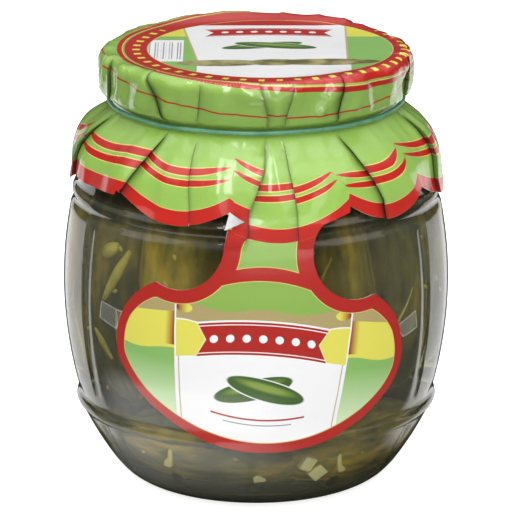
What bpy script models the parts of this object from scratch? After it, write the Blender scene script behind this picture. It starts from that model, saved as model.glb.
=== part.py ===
"""Shut pickle jar: a barrel-shaped glass jar with twelve staves and two hoops, a plain closure
wrapped in a pleated paper cover whose front runs down the belly as a label, a rubber band round
the neck, two tape tabs at the label's sides, and gherkins inside.

Metres, +Z up. The origin is on the jar's axis at its foot, and the label faces -Y. An angle of
0 degrees is the front and angles grow towards +X. Paper is laid out flat as (around, height),
where around is the angle in radians times SHEET_RADIUS.
"""

import math
import random

import bmesh
import bpy
from mathutils import Vector
from mathutils.geometry import delaunay_2d_cdt

GAP = 0.0003

# Glass: outside sizes of the jar
BELLY_RADIUS = 0.0602
BELLY_HEIGHT = 0.0635
BELLY_CURVE = 0.128
STAVES = 12
STAVE_JOINT_DEPTH = 0.0006
STAVE_JOINT_HALF_ANGLE = math.radians(2.5)
STAVE_BOTTOM, STAVE_TOP = 0.0310, 0.0885
RIB_BOTTOM, RIB_TOP = 0.0070, 0.0245
FOOT_RADIUS, FOOT_INNER_RADIUS, PUNT_RADIUS, PUNT_HEIGHT = 0.0325, 0.0265, 0.0205, 0.0025
LOWER_HOOP, LOWER_HOOP_RADIUS = 0.0262, 0.0561
UPPER_HOOP, UPPER_HOOP_RADIUS, HOOP_HALF_HEIGHT = 0.0930, 0.0570, 0.0013
NECK_RADIUS, NECK_BOTTOM, MOUTH_HEIGHT = 0.0438, 0.1205, 0.1349
MOUTH_RADIUS = 0.0406
WALL, FLOOR, INNER_BOTTOM = 0.0024, 0.0045, 0.0340

# Turned stretches as (radius, height): an arc has its start, a point on it and its end
HEEL = ((0.0390, 0.0019), (0.0430, 0.0050))
BOWL = ((0.0449, 0.0072), (0.0504, 0.0155), (0.0550, 0.0243))
LOWER_GROOVE = ((0.0557, 0.0281), (0.0558, 0.0294))
UPPER_GROOVE, SHOULDER_CREASE = (0.0566, 0.0903), (0.0557, 0.0960)
SHOULDER = ((0.0553, 0.1005), (0.0531, 0.1095), (0.0450, 0.1178))
INNER_SHOULDER = ((0.0424, 0.1170), (0.0510, 0.1080), (0.0534, 0.0985))
INNER_BOWL = ((0.0530, 0.0255), (0.0487, 0.0165), (0.0440, 0.0095), (0.0370, 0.0058))

# Closure, rubber band
LID_RADIUS, LID_BOTTOM, LID_TOP, LID_WALL = 0.0466, 0.1246, 0.1364, 0.0007
BAND_HEIGHT, BAND_RADIUS, BAND_THICKNESS = 0.1215, 0.0458, 0.0013

# Paper cover
SHEET_RADIUS = 0.060
SHEET_THICKNESS = 0.0004
SHEET_TOP, TOP_EDGE = 0.1371, 0.1350
LID_SIDE_RADIUS, FLAT_RADIUS = 0.0473, 0.0450
PINCH_RADIUS = 0.0443
CUSP_HEIGHT, SCALLOP_DEPTH, SCALLOP_STEPS = 0.1000, 0.0060, 6
CUSP_ANGLES = (-173, -132, -91, -47.5, -8, 29.7, 62, 104, 146, 187)
FRONT_SCALLOP = 4
COLUMN_STEP = math.radians(7.5)

# Label: its own axes (across, up) are turned by LABEL_TILT round LABEL_CENTRE on the flat sheet
LABEL_CENTRE = (0.0021, 0.0600)
LABEL_TILT = math.radians(3.9)
NOTCH_CENTRE, NOTCH_RADIUS = (0.0288, 0.0280), 0.0148
SIDE_CENTRE, SIDE_RADIUS = (0.0246, -0.0075), 0.0240
LABEL_FOOT, FOOT_CURVE = -0.0362, 0.066
LABEL_CORNER = (0.0356, 0.0140)
LABEL_HEEL = (0.0462, -0.0178)

# Folds of the cover: angle in degrees at the lid's edge, at the band and at the hem, the side
# that lies on top (-1 the one of smaller angles, 1 the other), and how far it stands proud
FOLDS = (
    (-72, -72, -80, -1, 0.0010),
    (-38, -34, -51, -1, 0.0012),
    (-21, -23, -21, -1, 0.0005),
    (1, 4, -3.5, -1, 0.0013),
    (14, 10, 13, 1, 0.0005),
    (34, 31, 43, 1, 0.0012),
    (80, 77, 76, 1, 0.0010),
    (110, 108, 112, -1, 0.0011),
    (140, 142, 138, 1, 0.0012),
    (170, 168, 172, -1, 0.0010),
    (-156, -158, -153, 1, 0.0011),
    (-128, -126, -122, -1, 0.0012),
    (-101, -98, -104, 1, 0.0010),
)
FOLD_HALF_WIDTH = math.radians(0.5)
FOLD_REACH = math.radians(11)

# Rows of points of the cover, in heights. Heights above TOP_EDGE run inwards over the lid's top
TURN_OVER, RIM_ROW = TOP_EDGE + 0.0020, TOP_EDGE + 0.0035
LAST_ROW = 0.1012
SHEET_ROWS = (LAST_ROW, 0.1060, 0.1110, 0.1155, 0.1203, 0.1227, 0.1245, 0.1280, 0.1320, TOP_EDGE, TURN_OVER)
LABEL_ROWS = tuple(0.030 + 0.0075 * i for i in range(9))
LABEL_MARGIN, FOLD_MARGIN = 0.0040, 0.0026

# Share of each fold's depth by height: none on the label, under the band and on the top
PLEAT_SHARE = (
    (0.0890, 0.0),
    (0.0930, 0.6),
    (0.1120, 1.0),
    (0.1203, 0.0),
    (0.1227, 0.0),
    (0.1275, 1.0),
    (TOP_EDGE, 0.8),
    (TURN_OVER, 0.0),
)

# Tape tabs: angle and height of the middle, length across, length up
TAPES = {
    "tape_left": (-48.0, 0.0631, 0.0098, 0.0075),
    "tape_right": (50.2, 0.0595, 0.0092, 0.0068),
}
TAPE_THICKNESS = 0.0003

# Gherkins: standing ones in a ring along the wall, lying ones in the bowl under them
STANDING_ANGLES = (-63, -28, 3, 31, 68, 106, 144, 183, 222, 260)
STANDING_RADIUS, STANDING_FOOT, STANDING_TIP = 0.0130, 0.0330, 0.1120
LYING_ANGLES = (-20, 47, 138, 228)
LYING_RADIUS, LYING_LENGTH, LYING_HEIGHT = 0.0122, 0.056, 0.0205
CHUNKS = ((3, 0.0370, 0.0125), (13, 0.0378, 0.0120), (20, 0.0392, 0.0135))
CHUNK_RADIUS = 0.0042
CORE_RADIUS, CORE_FOOT, CORE_TOP = 0.031, 0.0110, 0.1020
SEED = 7


def turned_by(angle):
    """Unit vector from the axis towards this angle."""
    return Vector((math.sin(angle), -math.cos(angle), 0.0))


def at(radius, angle, height):
    return turned_by(angle) * radius + Vector((0.0, 0.0, height))


def mix(table, x):
    """Value at x of a table of (x, value) pairs in rising order, on straight lines between them."""
    if x <= table[0][0]:
        return table[0][1]
    for (x0, y0), (x1, y1) in zip(table, table[1:]):
        if x <= x1:
            return y0 + (y1 - y0) * (x - x0) / (x1 - x0)
    return table[-1][1]


def arc(start, middle, end, steps):
    """Points of the circle through three points of a plane, from start to end."""
    (ax, ay), (bx, by), (cx, cy) = start, middle, end
    cross = 2 * ((bx - ax) * (cy - ay) - (by - ay) * (cx - ax))
    b2 = (bx - ax) ** 2 + (by - ay) ** 2
    c2 = (cx - ax) ** 2 + (cy - ay) ** 2
    ux = ax + ((cy - ay) * b2 - (by - ay) * c2) / cross
    uy = ay + ((bx - ax) * c2 - (cx - ax) * b2) / cross
    first = math.atan2(ay - uy, ax - ux)
    sweep = math.atan2(cy - uy, cx - ux) - first
    if cross > 0:
        sweep %= 2 * math.pi
    else:
        sweep = -((-sweep) % (2 * math.pi))
    radius = math.hypot(ax - ux, ay - uy)
    angles = [first + sweep * i / steps for i in range(steps + 1)]
    return [(ux + radius * math.cos(a), uy + radius * math.sin(a)) for a in angles]


def belly_radius(height):
    return BELLY_RADIUS - (height - BELLY_HEIGHT) ** 2 / (2 * BELLY_CURVE)


def belly(bottom, top, steps, inset=0.0):
    heights = [bottom + (top - bottom) * i / steps for i in range(steps + 1)]
    return [(belly_radius(height) - inset, height) for height in heights]


def glass_profile():
    """(radius, height) from the middle of the base, up the outside and down the inside."""
    outside = [(0.0, PUNT_HEIGHT), (PUNT_RADIUS, PUNT_HEIGHT), (FOOT_INNER_RADIUS, 0.0)]
    outside += arc((FOOT_RADIUS, 0.0), *HEEL, 3)
    outside += arc(*BOWL, 3)
    outside += [(LOWER_HOOP_RADIUS, LOWER_HOOP), *LOWER_GROOVE]
    outside += belly(STAVE_BOTTOM, STAVE_TOP, 7)
    outside += [UPPER_GROOVE, (UPPER_HOOP_RADIUS, UPPER_HOOP - HOOP_HALF_HEIGHT)]
    outside += [(UPPER_HOOP_RADIUS, UPPER_HOOP + HOOP_HALF_HEIGHT), SHOULDER_CREASE]
    outside += arc(*SHOULDER, 4)
    outside += [(NECK_RADIUS, NECK_BOTTOM), (NECK_RADIUS, MOUTH_HEIGHT)]
    inside = [(MOUTH_RADIUS, MOUTH_HEIGHT), (MOUTH_RADIUS, NECK_BOTTOM)]
    inside += arc(*INNER_SHOULDER, 3)
    inside += belly(INNER_BOTTOM, STAVE_TOP, 4, WALL)[::-1]
    return outside + inside + [*INNER_BOWL, (0.0, FLOOR)]


def stave_inset(angle, height):
    """Depth of the joint lines between staves, and of the short ribs of the bowl under them."""
    pitch = 2 * math.pi / STAVES
    off = abs((angle + pitch / 2) % pitch - pitch / 2)
    if off > STAVE_JOINT_HALF_ANGLE / 2:
        return 0.0
    if STAVE_BOTTOM - 0.001 < height < STAVE_TOP + 0.001:
        return STAVE_JOINT_DEPTH
    return STAVE_JOINT_DEPTH * 0.7 if RIB_BOTTOM < height < RIB_TOP else 0.0


def colour_of(name, colour, roughness=0.5, metallic=0.0, transmission=0.0):
    material = bpy.data.materials.new(name)
    material.use_nodes = True
    shader = material.node_tree.nodes["Principled BSDF"]
    shader.inputs["Base Color"].default_value = (*colour, 1.0)
    shader.inputs["Roughness"].default_value = roughness
    shader.inputs["Metallic"].default_value = metallic
    shader.inputs["Transmission Weight"].default_value = transmission
    return material


def object_of(name, mesh_data, material, sharp=35):
    """Object of a bmesh, with its normals turned out and shaded smooth up to the sharp angle."""
    bmesh.ops.recalc_face_normals(mesh_data, faces=mesh_data.faces)
    mesh = bpy.data.meshes.new(name)
    mesh_data.to_mesh(mesh)
    mesh_data.free()
    mesh.shade_smooth()
    mesh.set_sharp_from_angle(angle=math.radians(sharp))
    mesh.materials.append(material)
    made = bpy.data.objects.new(name, mesh)
    bpy.context.scene.collection.objects.link(made)
    return made


def turned(name, profile, angles, material, inset=None, outside_points=0):
    """Solid turned from a profile whose two ends are on the axis."""
    data = bmesh.new()
    rings = []
    for i, (radius, height) in enumerate(profile[1:-1], start=1):
        ring = []
        for angle in angles:
            cut = inset(angle, height) if inset and i < outside_points else 0.0
            ring.append(data.verts.new(at(radius - cut, angle, height)))
        rings.append(ring)
    ends = [data.verts.new((0.0, 0.0, profile[0][1])), data.verts.new((0.0, 0.0, profile[-1][1]))]
    for i in range(len(angles)):
        j = (i + 1) % len(angles)
        data.faces.new((ends[0], rings[0][i], rings[0][j]))
        data.faces.new((ends[1], rings[-1][j], rings[-1][i]))
        for low, high in zip(rings, rings[1:]):
            data.faces.new((low[i], high[i], high[j], low[j]))
    return object_of(name, data, material)


def make_glass():
    pitch = 2 * math.pi / STAVES
    steps = (0.0, STAVE_JOINT_HALF_ANGLE, pitch / 2, pitch - STAVE_JOINT_HALF_ANGLE)
    angles = [pitch * stave + step for stave in range(STAVES) for step in steps]
    profile = glass_profile()
    outside_points = profile.index((MOUTH_RADIUS, MOUTH_HEIGHT))
    glass = colour_of("clear_glass", (0.80, 0.83, 0.78), 0.05, transmission=1.0)
    turned("glass_jar", profile, angles, glass, stave_inset, outside_points)


def make_lid():
    under = LID_TOP - LID_WALL
    inner = LID_RADIUS - LID_WALL
    profile = [(0.0, LID_TOP), (LID_RADIUS - 0.0016, LID_TOP), (LID_RADIUS, LID_TOP - 0.0016)]
    profile += [(LID_RADIUS, LID_BOTTOM), (inner, LID_BOTTOM), (inner, under - 0.001)]
    profile += [(inner - 0.001, under), (0.0, under)]
    angles = [math.radians(10) * i for i in range(36)]
    turned("lid", profile, angles, colour_of("lid_metal", (0.55, 0.56, 0.50), 0.35, 0.6))


def make_band():
    around, across = 48, 6
    data = bmesh.new()
    rings = []
    for i in range(around):
        angle = 2 * math.pi * i / around
        ring = []
        for j in range(across):
            turn = 2 * math.pi * j / across
            radius = BAND_RADIUS + BAND_THICKNESS / 2 * math.cos(turn)
            height = BAND_HEIGHT + BAND_THICKNESS / 2 * math.sin(turn)
            ring.append(data.verts.new(at(radius, angle, height)))
        rings.append(ring)
    for i in range(around):
        here, there = rings[i], rings[(i + 1) % around]
        for j in range(across):
            k = (j + 1) % across
            data.faces.new((here[j], there[j], there[k], here[k]))
    object_of("rubber_band", data, colour_of("band_rubber", (0.10, 0.30, 0.20), 0.6), 60)


def sheet_radii():
    """(height, radius) pairs of the paper's inner face, from the label's foot to the lid's top edge."""
    label_foot = [(0.0230, 0.0562), (0.0262, 0.0568), (0.0300, 0.0569)]
    heights = (0.034, 0.042, 0.052, 0.062, 0.072, 0.080, 0.086)
    on_belly = [(z, belly_radius(z) + GAP + 0.0001) for z in heights]
    over_hoop = [(0.0915, 0.0575), (0.0950, 0.0574), (0.0985, 0.0565), (0.1020, 0.0563)]
    shoulder = [(0.1060, 0.0558), (0.1100, 0.0541), (0.1140, 0.0510), (0.1175, 0.0470)]
    pinch = [(0.1203, PINCH_RADIUS), (0.1227, PINCH_RADIUS)]
    lid_side = [(0.1245, LID_SIDE_RADIUS), (0.1330, LID_SIDE_RADIUS), (TOP_EDGE, LID_SIDE_RADIUS - 0.0003)]
    return label_foot + on_belly + over_hoop + shoulder + pinch + lid_side


SHEET_RADII = sheet_radii()
RIM_RADII = (
    (TOP_EDGE, LID_SIDE_RADIUS - 0.0003),
    (TURN_OVER, LID_SIDE_RADIUS - 0.0009),
    (RIM_ROW, FLAT_RADIUS),
)
RIM_HEIGHTS = (
    (TOP_EDGE, TOP_EDGE),
    (TURN_OVER, SHEET_TOP - SHEET_THICKNESS - 0.0003),
    (RIM_ROW, SHEET_TOP - SHEET_THICKNESS),
)


def sheet_base(height):
    """(radius, height) of the paper's inner face: heights above TOP_EDGE run inwards over the top."""
    if height <= TOP_EDGE:
        return mix(SHEET_RADII, height), height
    return mix(RIM_RADII, height), mix(RIM_HEIGHTS, height)


def fold_angle(fold, height):
    top, band, hem = fold[:3]
    return math.radians(mix(((CUSP_HEIGHT, hem), (BAND_HEIGHT, band), (TOP_EDGE, top)), height))


def pleat(angle, height):
    """How far the pleats stand proud of the base here."""
    most = 0.0
    for fold in FOLDS:
        side, proud = fold[3:]
        off = (angle - fold_angle(fold, height) + math.pi) % (2 * math.pi) - math.pi
        if off * side > 0:
            most = max(most, proud * math.exp(-abs(off) / FOLD_REACH))
    return most * mix(PLEAT_SHARE, height)


def sheet_point(around, height, lift):
    """Point of the cover from its flat layout, lifted off the inner face along the base's normal."""
    angle = around / SHEET_RADIUS
    radius, z = sheet_base(height)
    step = 0.0004
    r0, z0 = sheet_base(height - step)
    r1, z1 = sheet_base(height + step)
    slope = Vector((z1 - z0, r0 - r1)).normalized()
    return at(radius + pleat(angle, height) + slope.x * lift, angle, z + slope.y * lift)


def label_to_sheet(across, up):
    turn_x, turn_y = math.cos(LABEL_TILT), math.sin(LABEL_TILT)
    return (LABEL_CENTRE[0] + across * turn_x + up * turn_y, LABEL_CENTRE[1] - across * turn_y + up * turn_x)


def label_side(side, cusp):
    """One side of the label's outline on the sheet, from the hem's cusp through the notch to the foot."""
    ring = []
    first, last = (0.0, 115.0) if side < 0 else (-35.0, 115.0)
    for i in range(8):
        turn = math.radians(first + (last - first) * i / 7)
        across = NOTCH_CENTRE[0] - NOTCH_RADIUS * math.cos(turn)
        ring.append((across, NOTCH_CENTRE[1] - NOTCH_RADIUS * math.sin(turn)))
    widest = (SIDE_CENTRE[0] + SIDE_RADIUS, SIDE_CENTRE[1])
    ring += arc(LABEL_CORNER, widest, LABEL_HEEL, 8)
    foot_centre = LABEL_FOOT + FOOT_CURVE
    for i in range(1, 7):
        across = LABEL_HEEL[0] * (1 - i / 6)
        ring.append((across, foot_centre - math.sqrt(FOOT_CURVE ** 2 - across ** 2)))
    return [cusp] + [label_to_sheet(side * across, up) for across, up in ring]


def label_outline():
    """The label's outline on the sheet, from the left cusp of the front scallop to its right one."""
    left, right = CUSP_ANGLES[FRONT_SCALLOP:FRONT_SCALLOP + 2]
    first = label_side(-1, (math.radians(left) * SHEET_RADIUS, CUSP_HEIGHT - 0.001))
    second = label_side(1, (math.radians(right) * SHEET_RADIUS, CUSP_HEIGHT - 0.002))
    return first + second[-2::-1]


def hem_outline():
    """The sheet's lower edge from the seam at the back round the front to the seam again."""
    seam = math.pi * SHEET_RADIUS
    cusps = [math.radians(angle) * SHEET_RADIUS for angle in CUSP_ANGLES]
    edge = []
    for number, (left, right) in enumerate(zip(cusps, cusps[1:])):
        if number == FRONT_SCALLOP:
            edge += label_outline()
            continue
        for i in range(SCALLOP_STEPS):
            x = 2 * i / SCALLOP_STEPS - 1
            height = CUSP_HEIGHT - SCALLOP_DEPTH * (1 - x * x)
            edge.append((left + (right - left) * (x + 1) / 2, height))
    wrapped = [(x - 2 * seam, y) for x, y in edge if x > seam]
    height = CUSP_HEIGHT - SCALLOP_DEPTH / 2
    return [(-seam, height)] + wrapped + [point for point in edge if point[0] < seam] + [(seam, height)]


def inside_label(x, y, outline):
    """Whether a point of the sheet is on the label or its tongue, well clear of their outline's points."""
    crossings = 0
    for (x0, y0), (x1, y1) in zip(outline, outline[1:] + outline[:1]):
        if math.hypot(x - x0, y - y0) < LABEL_MARGIN:
            return False
        if (y0 > y) != (y1 > y) and x < x0 + (x1 - x0) * (y - y0) / (y1 - y0):
            crossings += 1
    return crossings % 2 == 1


def flat_layout():
    """Points and triangles of the cover laid out flat, with an edge along both sides of each fold."""
    seam = math.pi * SHEET_RADIUS
    hem = hem_outline()
    label = label_outline()
    columns = round(2 * math.pi / COLUMN_STEP)
    rim = [(seam - 2 * seam * i / columns, RIM_ROW) for i in range(columns + 1)]
    right = [(seam, y) for y in SHEET_ROWS]
    left = [(-seam, y) for y in reversed(SHEET_ROWS)]
    outline = hem + right + rim + left
    points = list(outline)
    edges = [(i, (i + 1) % len(outline)) for i in range(len(outline))]
    for fold in FOLDS:
        for side in (-1, 1):
            off = side * FOLD_HALF_WIDTH
            line = [((fold_angle(fold, y) + off) * SHEET_RADIUS, y) for y in SHEET_ROWS]
            edges += [(len(points) + i, len(points) + i + 1) for i in range(len(line) - 1)]
            points += line
    for column in range(1, columns):
        x = -seam + column * 2 * seam / columns
        for y in SHEET_ROWS:
            folds = [abs(x - fold_angle(fold, y) * SHEET_RADIUS) for fold in FOLDS]
            if min(folds) > FOLD_MARGIN:
                points.append((x, y))
        points += [(x, y) for y in LABEL_ROWS if inside_label(x, y, label)]
    for row in SHEET_ROWS:
        along = sorted((x, i) for i, (x, y) in enumerate(points) if y == row)
        edges += [(i, j) for (_, i), (_, j) in zip(along, along[1:])]
    found = delaunay_2d_cdt([Vector(p) for p in points], edges, [list(range(len(outline)))], 1, 1e-7)
    return [(v.x, v.y) for v in found[0]], [tuple(face) for face in found[2]]


def make_paper():
    flat, faces = flat_layout()
    seam = math.pi * SHEET_RADIUS
    left_of = {round(y, 6): i for i, (x, y) in enumerate(flat) if abs(x + seam) < 1e-6}
    joined = {i: left_of[round(y, 6)] for i, (x, y) in enumerate(flat) if abs(x - seam) < 1e-6}
    faces = [tuple(joined.get(i, i) for i in face) for face in faces]
    data = bmesh.new()
    used = sorted({i for face in faces for i in face})
    layers = []
    for lift in (0.0, SHEET_THICKNESS):
        layers.append({i: data.verts.new(sheet_point(*flat[i], lift)) for i in used})
    inner, outer = layers
    middle_height = sheet_base(RIM_ROW)[1]
    middles = [data.verts.new((0, 0, middle_height)), data.verts.new((0, 0, middle_height + SHEET_THICKNESS))]
    count = {}
    for face in faces:
        data.faces.new([outer[i] for i in face])
        data.faces.new([inner[i] for i in reversed(face)])
        for a, b in zip(face, face[1:] + face[:1]):
            count.setdefault(frozenset((a, b)), []).append((a, b))
    for uses in count.values():
        if len(uses) > 1:
            continue
        a, b = uses[0]
        if min(flat[a][1], flat[b][1]) > RIM_ROW - 1e-6:
            data.faces.new((outer[b], outer[a], middles[1]))
            data.faces.new((inner[a], inner[b], middles[0]))
        else:
            data.faces.new((outer[b], outer[a], inner[a], inner[b]))
    bmesh.ops.triangulate(data, faces=data.faces)
    object_of("paper_cover", data, colour_of("printed_paper", (0.30, 0.50, 0.16), 0.45), 40)


def make_tape(name, middle_angle, middle_height, across, up):
    """Film tab bent over the label's edge on to the glass, laid a gap outside the paper."""
    data = bmesh.new()
    columns, rows = 4, 2
    sheets = []
    for lift in (GAP, GAP + TAPE_THICKNESS):
        grid = []
        for i in range(columns + 1):
            angle = math.radians(middle_angle) + across * (i / columns - 0.5) / SHEET_RADIUS
            line = []
            for j in range(rows + 1):
                height = middle_height + up * (j / rows - 0.5)
                radius = sheet_base(height)[0] + SHEET_THICKNESS + lift
                line.append(data.verts.new(at(radius, angle, height)))
            grid.append(line)
        sheets.append(grid)
    under, over = sheets
    for grid in sheets:
        for i in range(columns):
            for j in range(rows):
                data.faces.new((grid[i][j], grid[i + 1][j], grid[i + 1][j + 1], grid[i][j + 1]))
    rim = [(i, 0) for i in range(columns)] + [(columns, j) for j in range(rows)]
    rim += [(columns - i, rows) for i in range(columns)] + [(0, rows - j) for j in range(rows)]
    for (i, j), (k, m) in zip(rim, rim[1:] + rim[:1]):
        data.faces.new((under[i][j], under[k][m], over[k][m], over[i][j]))
    object_of(name, data, colour_of("clear_tape", (0.85, 0.87, 0.82), 0.2, transmission=0.7), 60)


def gherkin(name, foot, tip, radius, bow, material, draws):
    """Gherkin between two end points, thickest past its middle and bowed outwards, with few sides."""
    axis = tip - foot
    middle = (foot + tip) / 2
    out = Vector((middle.x, middle.y, 0.0)).normalized()
    across = axis.cross(out).normalized()
    up = across.cross(axis).normalized()
    sides, rings = 8, 6
    data = bmesh.new()
    loops = []
    for i in range(1, rings):
        x = 0.5 - 0.5 * math.cos(math.pi * i / rings)
        size = radius * (1 - abs(2 * x - 1) ** 2.6) ** (1 / 2.2)
        size *= 1 + 0.05 * math.sin(5 * x + foot.x * 90)
        centre = foot + axis * x + out * bow * (1 - (2 * x - 1) ** 2)
        loop = []
        for j in range(sides):
            turn = 2 * math.pi * j / sides
            out_here = across * math.cos(turn) + up * math.sin(turn)
            loop.append(data.verts.new(centre + out_here * size * (1 + draws.uniform(-0.04, 0.02))))
        loops.append(loop)
    ends = (data.verts.new(foot), data.verts.new(tip))
    for j in range(sides):
        k = (j + 1) % sides
        data.faces.new((ends[0], loops[0][k], loops[0][j]))
        data.faces.new((ends[1], loops[-1][j], loops[-1][k]))
        for low, high in zip(loops, loops[1:]):
            data.faces.new((low[j], low[k], high[k], high[j]))
    bmesh.ops.triangulate(data, faces=data.faces)
    return object_of(name, data, material, 70)


def make_pickles():
    material = colour_of("pickled_gherkin", (0.30, 0.31, 0.08), 0.4)
    draws = random.Random(SEED)
    angles = [math.radians(20) * i for i in range(18)]
    core = [(0.0, CORE_FOOT), (CORE_RADIUS - 0.010, CORE_FOOT), (CORE_RADIUS, CORE_FOOT + 0.014)]
    core += [(CORE_RADIUS + 0.005, 0.050), (CORE_RADIUS + 0.005, 0.085), (CORE_RADIUS, CORE_TOP - 0.006)]
    core += [(CORE_RADIUS - 0.012, CORE_TOP), (0.0, CORE_TOP)]
    heap = turned("pickles", core, angles, material)
    pieces = []
    for number, degrees in enumerate(STANDING_ANGLES):
        angle = math.radians(degrees)
        lean = math.radians(draws.uniform(-4, 4))
        foot = at(0.0345, angle - lean, STANDING_FOOT + draws.uniform(-0.003, 0.004))
        tip = at(0.0325, angle + lean, STANDING_TIP + draws.uniform(-0.006, 0.0))
        radius = STANDING_RADIUS * draws.uniform(0.94, 1.04)
        pieces.append(gherkin(f"standing_{number}", foot, tip, radius, 0.0085, material, draws))
    for number, degrees in enumerate(LYING_ANGLES):
        angle = math.radians(degrees)
        side = Vector((math.cos(angle), math.sin(angle), 0.0)) * LYING_LENGTH / 2
        middle = at(0.0260, angle, LYING_HEIGHT + draws.uniform(-0.001, 0.002))
        radius = LYING_RADIUS * draws.uniform(0.96, 1.04)
        name = f"lying_{number}"
        pieces.append(gherkin(name, middle - side, middle + side, radius, 0.0075, material, draws))
    for number, (degrees, reach, height) in enumerate(CHUNKS):
        angle = math.radians(degrees)
        side = Vector((math.cos(angle), math.sin(angle), 0.0)) * 0.0055
        middle = at(reach, angle, height)
        name = f"chunk_{number}"
        pieces.append(gherkin(name, middle - side, middle + side, CHUNK_RADIUS, 0.0, material, draws))
    group = bpy.data.collections.new("gherkin_pieces")
    bpy.context.scene.collection.children.link(group)
    for piece in pieces:
        bpy.context.scene.collection.objects.unlink(piece)
        group.objects.link(piece)
    union = heap.modifiers.new("fuse", "BOOLEAN")
    union.operation = "UNION"
    union.solver = "EXACT"
    union.operand_type = "COLLECTION"
    union.collection = group
    bpy.context.view_layer.objects.active = heap
    with bpy.context.temp_override(object=heap, active_object=heap):
        bpy.ops.object.modifier_apply(modifier=union.name)
    for piece in pieces:
        bpy.data.objects.remove(piece)
    bpy.data.collections.remove(group)
    heap.data.shade_smooth()
    heap.data.set_sharp_from_angle(angle=math.radians(50))


def main():
    for old in list(bpy.data.objects):
        bpy.data.objects.remove(old)
    make_glass()
    make_lid()
    make_paper()
    make_band()
    for name, place in TAPES.items():
        make_tape(name, *place)
    make_pickles()


main()
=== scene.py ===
"""Looks of the shut pickle jar: moulded glass, brine, gherkins, the pleated and printed paper cover
that runs down as a label, its rubber band and tape tabs, lit softly on a pale floor.

Metres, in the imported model's frame: +Z up, the label faces -Y, and an angle of 0 degrees is the
front and grows towards +X. Paper is laid out flat as (around, up): around is the angle in radians
times SHEET_RADIUS, and up is the height, which runs on inwards over the lid's top.
"""

import math
import random

import bmesh
import bpy
import numpy as np
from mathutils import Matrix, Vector, noise
from mathutils.geometry import delaunay_2d_cdt


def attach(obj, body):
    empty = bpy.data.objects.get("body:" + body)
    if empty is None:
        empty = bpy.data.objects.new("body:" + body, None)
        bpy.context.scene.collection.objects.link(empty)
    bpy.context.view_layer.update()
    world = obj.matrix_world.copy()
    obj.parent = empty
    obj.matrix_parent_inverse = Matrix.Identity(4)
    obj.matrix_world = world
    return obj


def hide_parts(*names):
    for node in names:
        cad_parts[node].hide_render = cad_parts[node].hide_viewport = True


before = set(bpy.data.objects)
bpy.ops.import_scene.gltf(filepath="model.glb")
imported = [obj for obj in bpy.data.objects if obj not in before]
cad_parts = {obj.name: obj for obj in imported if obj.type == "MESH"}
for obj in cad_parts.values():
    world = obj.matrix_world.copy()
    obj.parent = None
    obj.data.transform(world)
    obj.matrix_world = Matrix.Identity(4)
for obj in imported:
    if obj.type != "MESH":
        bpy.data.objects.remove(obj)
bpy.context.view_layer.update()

BODY = "root"

# View of the photograph
VIEW_DISTANCE, VIEW_ELEVATION, VIEW_HEIGHT = 1.5, math.radians(15.97), 0.070
LENS, SENSOR = 336.9, 36.0

# Glass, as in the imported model
BELLY_RADIUS, BELLY_HEIGHT, BELLY_CURVE = 0.0602, 0.0635, 0.128
STAVES, STAVE_BOTTOM, STAVE_TOP = 12, 0.0310, 0.0885
RIB_BOTTOM, RIB_TOP = 0.0070, 0.0245
NECK_RADIUS, NECK_BOTTOM, MOUTH_HEIGHT, MOUTH_RADIUS = 0.0438, 0.1205, 0.1349, 0.0406
WALL, FLOOR, INNER_BOTTOM = 0.0024, 0.0045, 0.0340
BRINE_TOP, BRINE_REACH = 0.1210, 0.00025

# Band and paper cover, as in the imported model
BAND_HEIGHT, BAND_RADIUS, BAND_THICKNESS = 0.1215, 0.0458, 0.0013
SHEET_RADIUS, SHEET_THICKNESS = 0.060, 0.0002
SEAM = math.pi * SHEET_RADIUS
SHEET_TOP, TOP_EDGE = 0.1371, 0.1350
LID_SIDE_RADIUS, FLAT_RADIUS, PINCH_RADIUS = 0.0473, 0.0450, 0.0443
TURN_OVER, RIM_ROW = TOP_EDGE + 0.0020, TOP_EDGE + 0.0035
CUSP_HEIGHT, SCALLOP_DEPTH = 0.1000, 0.0060

# Scallops of the hem, numbered by their left cusp's place in this row of angles in degrees
CUSP_ANGLES = (-173, -127, -78, -46.8, -8, 29.7, 62, 104, 146, 187)
CUSPS = [math.radians(angle) * SHEET_RADIUS for angle in CUSP_ANGLES]
LEFT_FLAP, LEFT_SCALLOP, FRONT_SCALLOP, RIGHT_SCALLOP, FAR_SCALLOP = 2, 3, 4, 5, 6
FLAP_EDGE = math.radians(-47.35) * SHEET_RADIUS
FLAP_HEM, FLAP_SAG, LEFT_CUSP_RISE = 0.1011, 0.0009, 0.0024

# Outline of the label, about its own centre
LABEL_CENTRE, LABEL_TILT = (0.0021, 0.0600), math.radians(3.9)
NOTCH_CENTRE, NOTCH_RADIUS = (0.0288, 0.0280), 0.0148
SIDE_CENTRE, SIDE_RADIUS = (0.0246, -0.0075), 0.0240
LABEL_FOOT, FOOT_CURVE = -0.0362, 0.066
LABEL_CORNER, LABEL_HEEL = (0.0356, 0.0140), (0.0462, -0.0178)

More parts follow.
